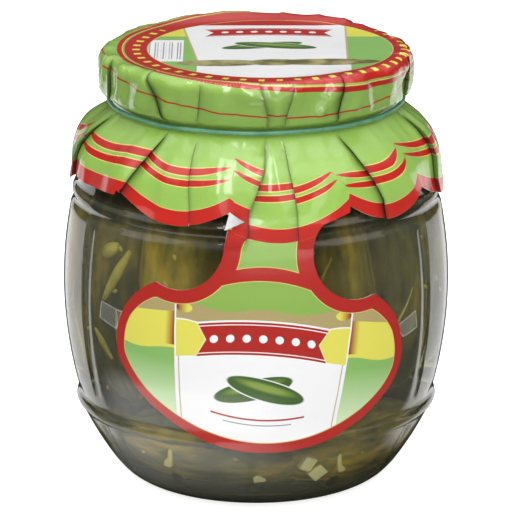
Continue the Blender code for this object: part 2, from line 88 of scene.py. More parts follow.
# Folds: angle in degrees at the lid's edge, at the band and at the hem, the side on top, how proud
FOLDS = (
    (-72, -72, -80, -1, 0.0010),
    (-44, -34.5, -47, -1, 0.0014),
    (-21, -23, -21, -1, 0.0005),
    (1, 4, -3.5, -1, 0.0013),
    (14, 10, 13, 1, 0.0005),
    (34, 31, 43, 1, 0.0012),
    (80, 77, 76, 1, 0.0010),
    (110, 108, 112, -1, 0.0011),
    (140, 142, 138, 1, 0.0012),
    (170, 168, 172, -1, 0.0010),
    (-156, -158, -153, 1, 0.0011),
    (-128, -126, -122, -1, 0.0012),
    (-101, -98, -104, 1, 0.0010),
)
LEFT_FOLD, TONGUE_FOLD = FOLDS[1], FOLDS[3]
FOLD_HALF_WIDTH, FOLD_REACH = math.radians(0.22), math.radians(11)
# Painted shade in the folds: how far it reaches beside a fold's lip, and how dark it gets
FOLD_SHADE_REACH, FOLD_SHADE = 0.0012, 0.92
FOLD_LAP, LAP_REACH, INNER_PLEAT = 0.0011, math.radians(3.5), 0.75
PLEAT_SHARE = (
    (0.0890, 0.0), (0.0930, 1.3), (0.1120, 2.1), (0.1203, 0.0), (0.1227, 0.0), (0.1265, 1.5),
    (TOP_EDGE - 0.0020, 1.3), (TURN_OVER, 0.5), (RIM_ROW + 0.0040, 0.0),
)
RIM_RISE = (
    (-180, 0.0010), (-167, 0.0016), (-150, 0.0008), (-134, 0.0), (-107, 0.0005), (-72, 0.0), (-38, 0.0004),
    (0, 0.0), (34, 0.0004), (80, 0.0), (124, 0.0), (138, 0.0003), (149, 0.0011), (171, 0.0006), (180, 0.0010),
)
FLAT_STEP = 0.0012

# Tape tabs on the flat sheet: their four corners in turn
TAPES = {
    "tape_left": ((-0.0534, 0.0668), (-0.0445, 0.0653), (-0.0468, 0.0593), (-0.0543, 0.0613)),
    "tape_right": ((0.0478, 0.0604), (0.0560, 0.0630), (0.0571, 0.0574), (0.0502, 0.0559)),
}
TAPE_THICKNESS = 0.0001

# Gherkins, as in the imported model, and an inner ring that only the scene has
STANDING_ANGLES = (-63, -28, 3, 31, 68, 106, 144, 183, 222, 260)
# Standing tones are partly random tone and partly painted shade: the lowest darken gherkins that lie in the
# paper's shade
STANDING_TONES = (0.50, 1.0, 0.25, 0.90, 0.55, 0.9, 0.6, 1.0, 0.7, 0.9)
STANDING_RADIUS, STANDING_FOOT, STANDING_TIP = 0.0130, 0.0330, 0.1120
LYING_ANGLES = (-20, 47, 138, 228)
LYING_TONES = (0.95, 1.0, 0.9, 1.0)
LYING_RADIUS, LYING_LENGTH, LYING_HEIGHT = 0.0122, 0.056, 0.0205
# The inner ring is painted dark, as painted shade deep in the heap
INNER_GHERKINS, INNER_RADIUS, INNER_TONE = 5, 0.0115, 0.25

# Cut roots: angle in degrees, reach, height, turn in degrees and half sizes
CHUNKS = (
    (1, 0.0400, 0.0125, 20, (0.0020, 0.0018, 0.0014)),
    (20.0, 0.0437, 0.0177, -25, (0.0020, 0.0018, 0.0025)),
    (24.8, 0.0420, 0.0139, -49, (0.0023, 0.0018, 0.0025)),
    (-34.6, 0.0450, 0.0177, 68, (0.0034, 0.0012, 0.0010)),
    (34.0, 0.0442, 0.0160, 112, (0.0036, 0.0011, 0.0009)),
)
BOWL_NORMAL = (0.97, -0.24)

# Dill stalks that the photograph shows: both ends as (degrees, height), and the radius
STALKS = (
    ((-55.5, 0.0795), (-48.5, 0.0835), 0.0023),
    ((-43.0, 0.0830), (-53.4, 0.0660), 0.0017),
    ((-58.0, 0.0560), (-50.0, 0.0480), 0.0012),
)
LOOSE_STALKS, LOOSE_SEEDS = 16, 70
CORE_RADIUS, CORE_FOOT, CORE_TOP = 0.0240, 0.0110, 0.1020

# Random draws: their seed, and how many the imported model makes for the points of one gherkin
SEED, PACKED_POINTS = 7, 40

# Print: its inks in linear light, then its measures on the flat sheet
GREEN = (0.258, 0.440, 0.077)
RED = (0.440, 0.013, 0.007)
PALE_YELLOW = (0.66, 0.55, 0.16)
YELLOW = (0.74, 0.69, 0.090)
KHAKI = (0.42, 0.34, 0.14)
WHITE = (0.86, 0.86, 0.87)
DARK_RED = (0.28, 0.010, 0.006)
TAN = (0.50, 0.42, 0.22)
PALE_GREEN = (0.66, 0.80, 0.52)
SIDE_GREEN = (0.24, 0.48, 0.12)
GHERKIN_INK = (0.055, 0.13, 0.020)
GHERKIN_LIGHT = (0.27, 0.38, 0.065)
GREY = (0.30, 0.31, 0.32)
PRINT_SOFT = 0.00006
BORDER, OUTLINE = 0.0044, 0.00026
SIDE_BORDER, TONGUE_HALF_WIDTH = 0.0034, 0.0145
STRIPES = ((0.0122, 0.0140), (0.0153, 0.0171))
STRIPE_DROPS = {LEFT_FLAP: 0.0045, RIGHT_SCALLOP: 0.0012}
STRIPE_FLATTEN = {
    LEFT_SCALLOP: (0.0, 0.0036), FRONT_SCALLOP: (0.0034, 0.0),
    RIGHT_SCALLOP: (0.0050, 0.0025), FAR_SCALLOP: (0.0025, 0.0),
}
CUSP_LEANS = {RIGHT_SCALLOP: -0.00628, FAR_SCALLOP: -0.00890}
PLEAT_OFFSET = 0.0007
TURNED_CORNER = ((-0.0081, 0.1003), (-0.0035, 0.0975), (-0.0093, 0.0952))
TURNED_LIFT = 0.0024
FRONT_HEM, FRONT_HEM_MIDDLE, FRONT_HEM_CURVE = 0.0903, 0.0080, 14.4
LID_LINE_HEIGHT, LID_LINE_TILT, LID_LINE_TURN = 0.1332, 0.0066, math.radians(27)
TOP_PRINT_CENTRE = (0.0044, -0.0009)
TOP_STRIP = (((-0.0110, -0.0200), 0.0135), ((0.0215, -0.0185), 0.0165), ((0.0060, -0.0190), 0.0085))
# Painted shade: the print is darker on the lid's side and on the label below LABEL_TOP, where less light
# falls
LID_SIDE_TONE, LABEL_TONE, LABEL_TOP = 0.68, 0.75, 0.0910

# Studio: the world's fade from low to high directions, and lamps with their place, target, size and power
WORLD_FADE = (0.28, 0.90, 0.05, 0.95)
BACKDROP = 0.95
LAMPS = (
    ("key", (-0.26, -1.42, 1.00), (0.0, 0.0, 0.10), (0.30, 1.20), 8.9),
    ("key_right", (0.62, -1.22, 1.00), (0.0, 0.0, 0.10), (0.20, 1.10), 4.2),
    ("high_left", (-0.21, -0.60, 1.36), (0.0, 0.0, 0.11), (0.34, 0.80), 4.7),
    ("high_right", (0.30, -0.57, 1.36), (0.0, 0.0, 0.11), (0.20, 0.80), 2.8),
    ("low", (0.40, -1.60, 0.30), (0.0, 0.0, 0.04), (1.40, 0.35), 2.4),
    ("over", (0.0, 0.25, 1.50), (0.0, 0.0, 0.13), (1.40, 1.00), 4.5),
    ("fill", (1.6, -0.6, 1.5), (0.0, 0.0, 0.07), (1.5, 1.5), 5.6),
    ("left", (-1.6, -0.4, 1.3), (0.0, 0.0, 0.07), (1.3, 1.3), 4.7),
)

# Floor: its glow, where gloss and glass see it bright (near the jar, in two wedges), and the rest
FLOOR_GLOW, FLOOR_SHOWN_GLOW = 0.30, 0.40
FLOOR_NEAR, FLOOR_FOOT = 0.125, 0.048
WEDGE_INNER, WEDGE_OUTER = (0.060, 0.29), (0.09115, 1.376)
FLOOR_SEEN_THROUGH, FLOOR_ELSEWHERE = 0.30, 0.03


def turned_by(angle):
    """Unit vector from the axis towards this angle."""
    return Vector((math.sin(angle), -math.cos(angle), 0.0))


def at(radius, angle, height):
    return turned_by(angle) * radius + Vector((0.0, 0.0, height))


def mix(table, x):
    """Value at x of a table of (x, value) pairs in rising order."""
    return float(np.interp(x, [pair[0] for pair in table], [pair[1] for pair in table]))


def smooth_step(x, low, high):
    t = min(max((x - low) / (high - low), 0.0), 1.0)
    return t * t * (3 - 2 * t)


def plateau(x, rise, fall):
    """1 between the rise and the fall, each a pair of places, and 0 outside them."""
    return smooth_step(x, *rise) * (1 - smooth_step(x, *fall))


def noise_round(spread, angle, height):
    """Smooth noise that joins up all round the axis."""
    return noise.noise(Vector((spread * math.cos(angle), spread * math.sin(angle), height)))


def arc(start, middle, end, steps):
    """Points of the circle through three points of a plane, from start to end."""
    (ax, ay), (bx, by), (cx, cy) = start, middle, end
    cross = 2 * ((bx - ax) * (cy - ay) - (by - ay) * (cx - ax))
    b2 = (bx - ax) ** 2 + (by - ay) ** 2
    c2 = (cx - ax) ** 2 + (cy - ay) ** 2
    ux = ax + ((cy - ay) * b2 - (by - ay) * c2) / cross
    uy = ay + ((bx - ax) * c2 - (cx - ax) * b2) / cross
    first = math.atan2(ay - uy, ax - ux)
    sweep = math.atan2(cy - uy, cx - ux) - first
    if cross > 0:
        sweep %= 2 * math.pi
    else:
        sweep = -((-sweep) % (2 * math.pi))
    radius = math.hypot(ax - ux, ay - uy)
    angles = [first + sweep * i / steps for i in range(steps + 1)]
    return [(ux + radius * math.cos(a), uy + radius * math.sin(a)) for a in angles]


def even(points, step, blur=0.0):
    """The polyline resampled at an even step, with its corners rounded over the blur length."""
    line = np.array(points)
    run = np.concatenate([[0.0], np.cumsum(np.hypot(*np.diff(line, axis=0).T))])
    places = np.linspace(0.0, run[-1], max(2, round(run[-1] / step)) + 1)
    if not blur:
        return np.column_stack([np.interp(places, run, line[:, i]) for i in (0, 1)])
    offsets = np.linspace(-1.0, 1.0, 15)
    weights = np.cos(offsets * math.pi / 2) ** 2
    weights /= weights.sum()
    made = []
    for place in places:
        room = min(blur, place, run[-1] - place)
        spots = place + offsets * room
        made.append([float(np.dot(weights, np.interp(spots, run, line[:, i]))) for i in (0, 1)])
    return np.array(made)


class Value:
    """What a node of a material gives out. Such values can be added, multiplied and so on."""

    def __init__(self, tree, socket):
        self.tree, self.socket = tree, socket

    def __add__(self, other):
        return self.tree.math("ADD", self, other)

    def __sub__(self, other):
        return self.tree.math("SUBTRACT", self, other)

    def __rsub__(self, other):
        return self.tree.math("SUBTRACT", other, self)

    def __mul__(self, other):
        return self.tree.math("MULTIPLY", self, other)

    def __truediv__(self, other):
        return self.tree.math("DIVIDE", self, other)

    def __pow__(self, other):
        return self.tree.math("POWER", self, other)

    def __abs__(self):
        return self.tree.math("ABSOLUTE", self)


class Tree:
    """A material's node tree, with short ways to add nodes. Inputs are plain numbers, colours or Values."""

    def __init__(self, name):
        self.material = bpy.data.materials.new(name)
        self.material.use_nodes = True
        self.nodes = self.material.node_tree.nodes
        self.links = self.material.node_tree.links
        self.nodes.clear()
        self.output = self.nodes.new("ShaderNodeOutputMaterial")

    def put(self, socket, value):
        if isinstance(value, Value):
            self.links.new(value.socket, socket)
        elif isinstance(value, tuple) and len(value) == 3 and len(socket.default_value) == 4:
            socket.default_value = (*value, 1.0)
        else:
            socket.default_value = value

    def node(self, kind, settings=None, **inputs):
        made = self.nodes.new(kind)
        for name, value in (settings or {}).items():
            setattr(made, name, value)
        for name, value in inputs.items():
            self.put(made.inputs[name.replace("_", " ")], value)
        return made

    def read(self, node, output=0):
        return Value(self, node.outputs[output])

    def math(self, operation, *values):
        made = self.node("ShaderNodeMath", {"operation": operation})
        for socket, value in zip(made.inputs, values):
            self.put(socket, value)
        return self.read(made)

    def length(self, x, y):
        return self.math("SQRT", x * x + y * y)

    def most(self, first, *others):
        for other in others:
            first = self.math("MAXIMUM", first, other)
        return first

    def least(self, first, *others):
        for other in others:
            first = self.math("MINIMUM", first, other)
        return first

    def over(self, value, edge, soft=PRINT_SOFT):
        """1 where the value is above the edge, 0 below it."""
        if isinstance(edge, Value):
            value, edge = value - edge, 0.0
        return self.read(self.node(
            "ShaderNodeMapRange", {"clamp": True}, Value=value, From_Min=edge - soft, From_Max=edge + soft
        ))

    def under(self, value, edge, soft=PRINT_SOFT):
        return 1.0 - self.over(value, edge, soft)

    def between(self, value, low, high, soft=PRINT_SOFT):
        return self.over(value, low, soft) * self.under(value, high, soft)

    def mixed(self, kind, share, below, above):
        made = self.node("ShaderNodeMix", {"data_type": "RGBA", "blend_type": kind})
        for number, value in ((0, share), (6, below), (7, above)):
            self.put(made.inputs[number], value)
        return self.read(made, 2)

    def blend(self, mask, below, above):
        return self.mixed("MIX", mask, below, above)

    def tinted(self, colour, tint):
        return self.mixed("MULTIPLY", 1.0, colour, tint)

    def paint(self, colour, *layers):
        """The colour with layers of (mask, ink) over it in turn."""
        for mask, ink in layers:
            colour = self.blend(mask, colour, ink)
        return colour

    def attribute(self, name, output="Fac"):
        return self.read(self.node("ShaderNodeAttribute", {"attribute_name": name}), output)

    def parts(self, vector):
        made = self.node("ShaderNodeSeparateXYZ", Vector=vector)
        return [self.read(made, number) for number in range(3)]

    def place(self):
        return self.read(self.node("ShaderNodeTexCoord"), "Object")

    def noise(self, scale, detail=3.0, stretch=None, roughness=0.5):
        place = self.place()
        if stretch:
            place = self.read(self.node("ShaderNodeMapping", Vector=place, Scale=stretch))
        return self.read(self.node(
            "ShaderNodeTexNoise", Vector=place, Scale=scale, Detail=detail, Roughness=roughness
        ))

    def ramp(self, value, *stops):
        """Colour from a row of stops, each (place, colour)."""
        made = self.node("ShaderNodeValToRGB", Fac=value)
        ramp = made.color_ramp
        while len(ramp.elements) < len(stops):
            ramp.elements.new(0.5)
        for element, (place, colour) in zip(ramp.elements, stops):
            element.position = place
            element.color = (*colour, 1.0)
        return self.read(made)

    def surface(self, bump=None, **inputs):
        """A Principled shader as the material's surface, with a bump of (height, distance, strength)."""
        shader = self.node("ShaderNodeBsdfPrincipled", **inputs)
        if bump:
            height, distance, strength = bump
            made = self.node("ShaderNodeBump", Height=height, Distance=distance, Strength=strength)
            self.put(shader.inputs["Normal"], self.read(made))
        self.put(self.output.inputs["Surface"], self.read(shader))
        return shader


def grained(name, grain, low, high, bump=None, **inputs):
    """Material whose colour and bump (distance, strength) follow one noise of (scale, detail, stretch)."""
    tree = Tree(name)
    height = tree.noise(*grain)
    colour = tree.ramp(height, (0.35, low), (0.65, high))
    tree.surface((height, *bump) if bump else None, Base_Color=colour, **inputs)
    return tree.material


def placed(name, data):
    made = bpy.data.objects.new(name, data)
    bpy.context.scene.collection.objects.link(made)
    return made


def aimed(name, data, place, target):
    """A camera or a lamp at a place, turned towards its target."""
    made = placed(name, data)
    made.location = place
    made.rotation_euler = (Vector(target) - Vector(place)).to_track_quat("-Z", "Y").to_euler()
    return made


def finished(name, data, materials, replaced=(), smooth_to=None):
    """Piece made of a bmesh, with its materials and the CAD nodes that it replaces."""
    mesh = bpy.data.meshes.new(name)
    data.to_mesh(mesh)
    data.free()
    mesh.shade_smooth()
    if smooth_to:
        mesh.set_sharp_from_angle(angle=math.radians(smooth_to))
    for material in materials:
        mesh.materials.append(material)
    made = placed(name, mesh)
    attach(made, BODY)
    if replaced:
        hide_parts(*replaced)
    return made


def bridge(data, loops):
    """Adds the faces between neighbouring rings of points to a bmesh."""
    for low, high in zip(loops, loops[1:]):
        for j in range(len(low)):
            k = (j + 1) % len(low)
            data.faces.new((low[j], low[k], high[k], high[j]))


def fan(data, middle, loop):
    """Adds the faces between a ring of points and its middle point to a bmesh."""
    for a, b in zip(loop, loop[1:] + loop[:1]):
        data.faces.new((middle, b, a))


def turned(data, rings, columns):
    """Adds a closed turned surface to a bmesh, from rings of (radius, height, form) that end on the axis.
    A form works out a point's own radius from the ring's radius, the angle and the height."""
    loops = []
    for radius, height, form in rings[1:-1]:
        angles = [2 * math.pi * i / columns for i in range(columns)]
        reaches = [form(radius, angle, height) if form else radius for angle in angles]
        loops.append([data.verts.new(at(reach, angle, height)) for reach, angle in zip(reaches, angles)])
    bridge(data, loops)
    fan(data, data.verts.new((0.0, 0.0, rings[0][1])), loops[0])
    fan(data, data.verts.new((0.0, 0.0, rings[-1][1])), loops[-1])
    bmesh.ops.recalc_face_normals(data, faces=data.faces)


def thick_sheet(data, under, over, faces, back=0):
    """Adds both sides of a sheet to a bmesh, and returns the edges round it. Back is a material's number."""
    uses = {}
    for face in faces:
        data.faces.new([over[i] for i in face])
        data.faces.new([under[i] for i in reversed(face)]).material_index = back
        for a, b in zip(face, face[1:] + face[:1]):
            uses.setdefault(frozenset((a, b)), []).append((a, b))
    return [found[0] for found in uses.values() if len(found) == 1]


def close_edges(data, under, over, edges, back=0):
    for a, b in edges:
        data.faces.new((over[b], over[a], under[a], under[b])).material_index = back


def belly_radius(height):
    return BELLY_RADIUS - (height - BELLY_HEIGHT) ** 2 / (2 * BELLY_CURVE)


def belly(bottom, top, inset=0.0):
    heights = np.linspace(bottom, top, 24)
    return [(belly_radius(height) - inset, height) for height in heights]


def outside_profile():
    """(radius, height) up the outside of the glass, from the middle of its base to the mouth."""
    line = [(0.0, 0.0026), (0.0205, 0.0025), (0.0262, 0.0001), (0.0295, 0.0), (0.0325, 0.0001)]
    line += arc((0.0327, 0.0002), (0.0390, 0.0019), (0.0430, 0.0050), 8)
    line += arc((0.0449, 0.0072), (0.0504, 0.0155), (0.0549, 0.0240), 20)
    line += [(0.0561, 0.0252), (0.0565, 0.0265), (0.0560, 0.0278), (0.0553, 0.0286), (0.0556, 0.0296)]
    line += belly(STAVE_BOTTOM, STAVE_TOP)
    line += [(0.0565, 0.0902), (0.0563, 0.0912), (0.0570, 0.0920), (0.0572, 0.0932), (0.0569, 0.0944)]
    line += [(0.0559, 0.0953), (0.0556, 0.0962)]
    line += arc((0.0553, 0.1005), (0.0531, 0.1095), (0.0450, 0.1178), 14)
    return line + [(NECK_RADIUS, NECK_BOTTOM), (NECK_RADIUS, MOUTH_HEIGHT)]


def inside_profile():
    """(radius, height) down the inside of the glass, from the mouth to the middle of its floor."""
    line = [(MOUTH_RADIUS, MOUTH_HEIGHT), (MOUTH_RADIUS, NECK_BOTTOM)]
    line += arc((0.0424, 0.1170), (0.0510, 0.1080), (0.0534, 0.0985), 12)
    line += belly(INNER_BOTTOM, STAVE_TOP, WALL)[::-1]
    return line + [*arc((0.0530, 0.0255), (0.0487, 0.0165), (0.0370, 0.0058), 16), (0.0, FLOOR)]


def stave_reach(radius, angle, height):
    """Radius of the outside with the joint lines between the staves and the ribs of the bowl pressed in."""
    pitch = 2 * math.pi / STAVES
    off = abs((angle + pitch / 2) % pitch - pitch / 2) * radius
    ends = plateau(
        height, (STAVE_BOTTOM - 0.0005, STAVE_BOTTOM + 0.0035), (STAVE_TOP - 0.0030, STAVE_TOP + 0.0005)
    )
    joint = 0.0006 * ends / (1 + (off / 0.0006) ** 4)
    crown = 0.00025 * ends * (off / (pitch * radius / 2)) ** 2
    along = plateau(height, (RIB_BOTTOM, RIB_BOTTOM + 0.004), (RIB_TOP - 0.002, RIB_TOP))
    width = 0.0007 + 0.0008 * (height - RIB_BOTTOM) / (RIB_TOP - RIB_BOTTOM)
    rib = 0.0010 * along / (1 + (off / width) ** 6) if along else 0.0
    return radius - joint - rib + crown


def wavy(radius, angle, height):
    """Slight unevenness that moulding leaves on the inside of the glass."""
    return radius + 0.00012 * noise_round(4, angle, height * 90)


def let_lamps_through(tree, shader, tint):
    """Shadow rays pass straight through, so that lamps light what the glass holds."""
    clear = tree.node("ShaderNodeBsdfTransparent", Color=tint)
    shadow = tree.read(tree.node("ShaderNodeLightPath"), "Is Shadow Ray")
    both = tree.node("ShaderNodeMixShader")
    for socket, value in zip(both.inputs, (shadow, tree.read(shader), tree.read(clear))):
        tree.put(socket, value)
    tree.put(tree.output.inputs["Surface"], tree.read(both))


def absorb(tree, colour, density):
    volume = tree.node("ShaderNodeVolumeAbsorption", Color=colour, Density=density)
    tree.put(tree.output.inputs["Volume"], tree.read(volume))


def glass_material():
    tree = Tree("moulded_glass")
    ripple = tree.noise(45.0, 2.0, (1.0, 1.0, 0.4))
    shader = tree.surface(
        (ripple, 0.0004, 0.20),
        Base_Color=(0.97, 0.985, 0.97), Roughness=0.02, IOR=1.5, Transmission_Weight=1.0
    )
    let_lamps_through(tree, shader, (0.98, 0.98, 0.98))
    absorb(tree, (0.45, 0.50, 0.42), 80.0)
    return tree.material


def make_glass():
    rings = [(*point, stave_reach) for point in even(outside_profile(), 0.0009, 0.0007)]
    rings += [(*point, wavy) for point in even(inside_profile(), 0.0024, 0.0012)]
    data = bmesh.new()
    turned(data, rings, 216)
    finished("jar_glass", data, [glass_material()], ["glass_jar"])


def brine_material():
    """Cloudy brine: browner up the barrel, tinted in the bowl, with painted light before the cut roots, and
    dark with painted shade where the paper shades it.
    """
    tree = Tree("cloudy_brine")
    haze = tree.ramp(tree.noise(18.0), (0.35, (0.44, 0.44, 0.33)), (0.65, (0.58, 0.57, 0.45)))
    x, y, z = tree.parts(tree.place())
    barrel = tree.under(abs(x), 0.0350, 0.0070) * tree.over(z, 0.066, 0.008)
    bowl = tree.under(z, 0.028, 0.008)
    clearer = tree.between(x, 0.008, 0.027, 0.004) * tree.between(z, 0.006, 0.024, 0.004)
    behind_tongue = tree.under(abs(x - 0.0035), 0.0235, 0.0055) * tree.over(z, 0.066, 0.006)
    shaded = tree.most(behind_tongue, tree.over(z, 0.0935, 0.0035)) * tree.under(y, 0.0, 0.010)
    colour = tree.paint(
        haze,
        (barrel * 0.85, (0.44, 0.40, 0.20)),
        (bowl * 0.60, (0.66, 0.63, 0.40)),
        (bowl * tree.over(x, 0.026, 0.010) * 0.80, (0.52, 0.49, 0.30)),
        # Painted light: the brine is lighter before the cut roots, so that they look lit
        (clearer * 0.75, (0.92, 0.87, 0.60)),
        (shaded * 0.80, (0.08, 0.075, 0.045)),
    )
    shader = tree.surface(Base_Color=colour, Roughness=0.03, IOR=1.33, Transmission_Weight=0.92)
    let_lamps_through(tree, shader, (0.97, 0.97, 0.94))
    absorb(tree, (0.62, 0.64, 0.40), 16.0)
    return tree.material


def make_brine():
    """Brine that reaches just into the glass all round, and ends in a flat level under the lid."""
    inside = [point for point in even(inside_profile(), 0.0024, 0.0012)[::-1] if point[1] < BRINE_TOP]
    rings = [(0.0, inside[0][1] - BRINE_REACH, None)]
    for radius, height in inside[1:]:
        rings.append((radius + BRINE_REACH, height - (BRINE_REACH if height < 0.012 else 0.0), None))
    rings += [(MOUTH_RADIUS + BRINE_REACH, BRINE_TOP, None), (0.0, BRINE_TOP, None)]
    data = bmesh.new()
    turned(data, rings, 120)
    finished("brine", data, [brine_material()], smooth_to=60)


def gherkin_material():
    tree = Tree("gherkin_skin")
    skin = tree.attribute("skin", "Vector")
    streaks = tree.read(tree.node("ShaderNodeTexNoise", Vector=skin, Scale=1.5, Detail=4.0, Roughness=0.60))
    colour = tree.ramp(
        streaks,
        (0.34, (0.050, 0.052, 0.008)),
        (0.47, (0.300, 0.230, 0.014)),
        (0.57, (0.620, 0.440, 0.024)),
        (0.68, (0.860, 0.660, 0.080)),
    )
    patches = tree.ramp(tree.noise(34.0), (0.40, (0.55, 0.60, 0.60)), (0.60, (1.15, 1.10, 0.95)))
    # A low tone blends the skin towards near black: random tone, and painted shade for gherkins in shade
    colour = tree.blend(tree.attribute("tone"), (0.030, 0.034, 0.008), tree.tinted(colour, patches))
    pores = tree.read(tree.node("ShaderNodeTexVoronoi", Scale=420.0), "Distance")
    tree.surface((pores, 0.0003, 0.5), Base_Color=colour, Roughness=0.34, Specular_IOR_Level=0.45)
    return tree.material


def gherkin(data, foot, tip, radius, bow, tone, sides=36, rings=46):
    """Adds a gherkin between two end points to a bmesh, bowed outwards, with ridges and warts."""
    skin, tones = data.verts.layers.float_vector["skin"], data.verts.layers.float["tone"]
    axis = tip - foot
    middle = (foot + tip) / 2
    out = Vector((middle.x, middle.y, 0.0)).normalized()
    across = axis.cross(out).normalized()
    up = across.cross(axis).normalized()
    where = foot * 37.0
    loops = []
    for i in range(1, rings):
        x = 0.5 - 0.5 * math.cos(math.pi * i / rings)
        size = radius * (1 - abs(2 * x - 1) ** 2.6) ** (1 / 2.2)
        size *= 1 + 0.05 * math.sin(5 * x + foot.x * 90)
        centre = foot + axis * x + out * bow * (1 - (2 * x - 1) ** 2)
        loop = []
        for j in range(sides):
            turn = 2 * math.pi * j / sides
            away = across * math.cos(turn) + up * math.sin(turn)
            point = centre + away * size
            ridge = 0.025 * math.cos(5 * turn + 3 * x + foot.y * 60)
            lump = 0.05 * noise.noise(point * 55.0 + where)
            wart = 0.10 * max(0.0, noise.noise(point * 230.0 + where) - 0.22)
            vert = data.verts.new(centre + away * size * (0.985 + ridge + lump + wart))
            vert[skin] = Vector((math.cos(turn), math.sin(turn), 1.8 * x)) + where
            vert[tones] = tone
            loop.append(vert)
        loops.append(loop)
    for end, loop in ((foot, loops[0]), (tip, loops[-1])):
        vert = data.verts.new(end)
        vert[skin], vert[tones] = where, tone
        fan(data, vert, loop)
    bridge(data, loops)


def make_gherkins():
    draws = random.Random(SEED)
    data = bmesh.new()
    data.verts.layers.float_vector.new("skin")
    data.verts.layers.float.new("tone")

    def skip():
        for _ in range(PACKED_POINTS):
            draws.random()

    for degrees, tone in zip(STANDING_ANGLES, STANDING_TONES):
        angle = math.radians(degrees)
        lean = math.radians(draws.uniform(-4, 4))
        foot = at(0.0345, angle - lean, STANDING_FOOT + draws.uniform(-0.003, 0.004))
        tip = at(0.0325, angle + lean, STANDING_TIP + draws.uniform(-0.006, 0.0))
        gherkin(data, foot, tip, STANDING_RADIUS * draws.uniform(0.94, 1.04), 0.0085, tone)
        skip()
    for degrees, tone in zip(LYING_ANGLES, LYING_TONES):
        angle = math.radians(degrees)
        side = Vector((math.cos(angle), math.sin(angle), 0.0)) * LYING_LENGTH / 2
        middle = at(0.0260, angle, LYING_HEIGHT + draws.uniform(-0.001, 0.002))
        gherkin(data, middle - side, middle + side, LYING_RADIUS * draws.uniform(0.96, 1.04), 0.0075, tone)
        skip()
    for i in range(INNER_GHERKINS):
        angle = math.radians(360 / INNER_GHERKINS * i + 15)
        foot, tip = at(0.0150, angle, 0.030), at(0.0140, angle, 0.1060)
        gherkin(data, foot, tip, INNER_RADIUS, 0.003, INNER_TONE, 24, 30)
    bmesh.ops.recalc_face_normals(data, faces=data.faces)
    finished("gherkins", data, [gherkin_material()], ["pickles"])


def make_core():
    """Dark heart of the heap, seen only between the gherkins: painted shade, near black where the heap lies
    in shade.
    """
    profile = even([
        (0.0, CORE_FOOT), (CORE_RADIUS - 0.006, CORE_FOOT), (CORE_RADIUS, CORE_FOOT + 0.012),
        (CORE_RADIUS + 0.002, 0.060), (CORE_RADIUS, CORE_TOP - 0.008), (CORE_RADIUS - 0.008, CORE_TOP),
        (0.0, CORE_TOP),
    ], 0.003, 0.004)

    def uneven(radius, angle, height):
        return radius * (1 + 0.06 * noise_round(3, angle, height * 60))

    data = bmesh.new()
    turned(data, [(*point, uneven) for point in profile], 60)
    # Painted shade: a near black colour for the shaded inside of the heap
    tree = Tree("heap_shade_core")
    colour = tree.ramp(tree.noise(50.0, 4.0), (0.35, (0.030, 0.032, 0.008)), (0.65, (0.075, 0.072, 0.016)))
    tree.surface((tree.noise(120.0), 0.0010, 0.6), Base_Color=colour, Roughness=0.6)
    finished("heap_shade_core", data, [tree.material])


def make_chunks():
    """Pale cut blocks of root at the bottom of the jar, lying against the bowl."""
    data = bmesh.new()
    for _ in CHUNKS:
        made = bmesh.ops.create_cube(data, size=2.0)["verts"]
        edges = list({edge for vert in made for edge in vert.link_edges})
        bmesh.ops.subdivide_edges(data, edges=edges, cuts=7, use_grid_fill=True)
    data.verts.ensure_lookup_table()
    share = len(data.verts) // len(CHUNKS)
    for number, (degrees, reach, height, turn, size) in enumerate(CHUNKS):
        angle, turn = math.radians(degrees), math.radians(turn)
        along = Vector((math.cos(angle), math.sin(angle), 0.0))
        out = at(BOWL_NORMAL[0], angle, BOWL_NORMAL[1])
        up = out.cross(along)
        side = along * math.cos(turn) + up * math.sin(turn)
        top = up * math.cos(turn) - along * math.sin(turn)
        centre = at(reach, angle, height)
        for vert in data.verts[number * share:(number + 1) * share]:
            x, y, z = vert.co
            bulge = max(abs(x), abs(y), abs(z)) / (abs(x) ** 14 + abs(y) ** 14 + abs(z) ** 14) ** (1 / 14)
            point = centre + (side * x * size[0] + out * y * size[1] + top * z * size[2]) * bulge
            vert.co = point + out * 0.0003 * noise.noise(point * 300.0)
    root = grained(
        "cut_root", (160.0, 4.0, (1.0, 1.0, 0.3)), (0.98, 0.86, 0.40), (1.0, 0.97, 0.66), (0.0004, 0.5),
        Roughness=0.45
    )
    finished("cut_roots", data, [root], smooth_to=50)


def tube(data, points, radius, sides=6):
    """Adds a closed tube along points to a bmesh, tapering to its two ends."""
    loops = []
    for i, point in enumerate(points):
        ahead = points[min(i + 1, len(points) - 1)] - points[max(i - 1, 0)]
        side = ahead.cross(Vector((0.3, 0.5, 0.81))).normalized()
        up = side.cross(ahead).normalized()
        size = radius * (0.35 + 0.65 * math.sin(math.pi * (i + 0.5) / len(points)))
        turns = [2 * math.pi * j / sides for j in range(sides)]
        loops.append([data.verts.new(point + (side * math.cos(t) + up * math.sin(t)) * size) for t in turns])
    bridge(data, loops)
    data.faces.new(loops[0][::-1])
    data.faces.new(loops[-1])


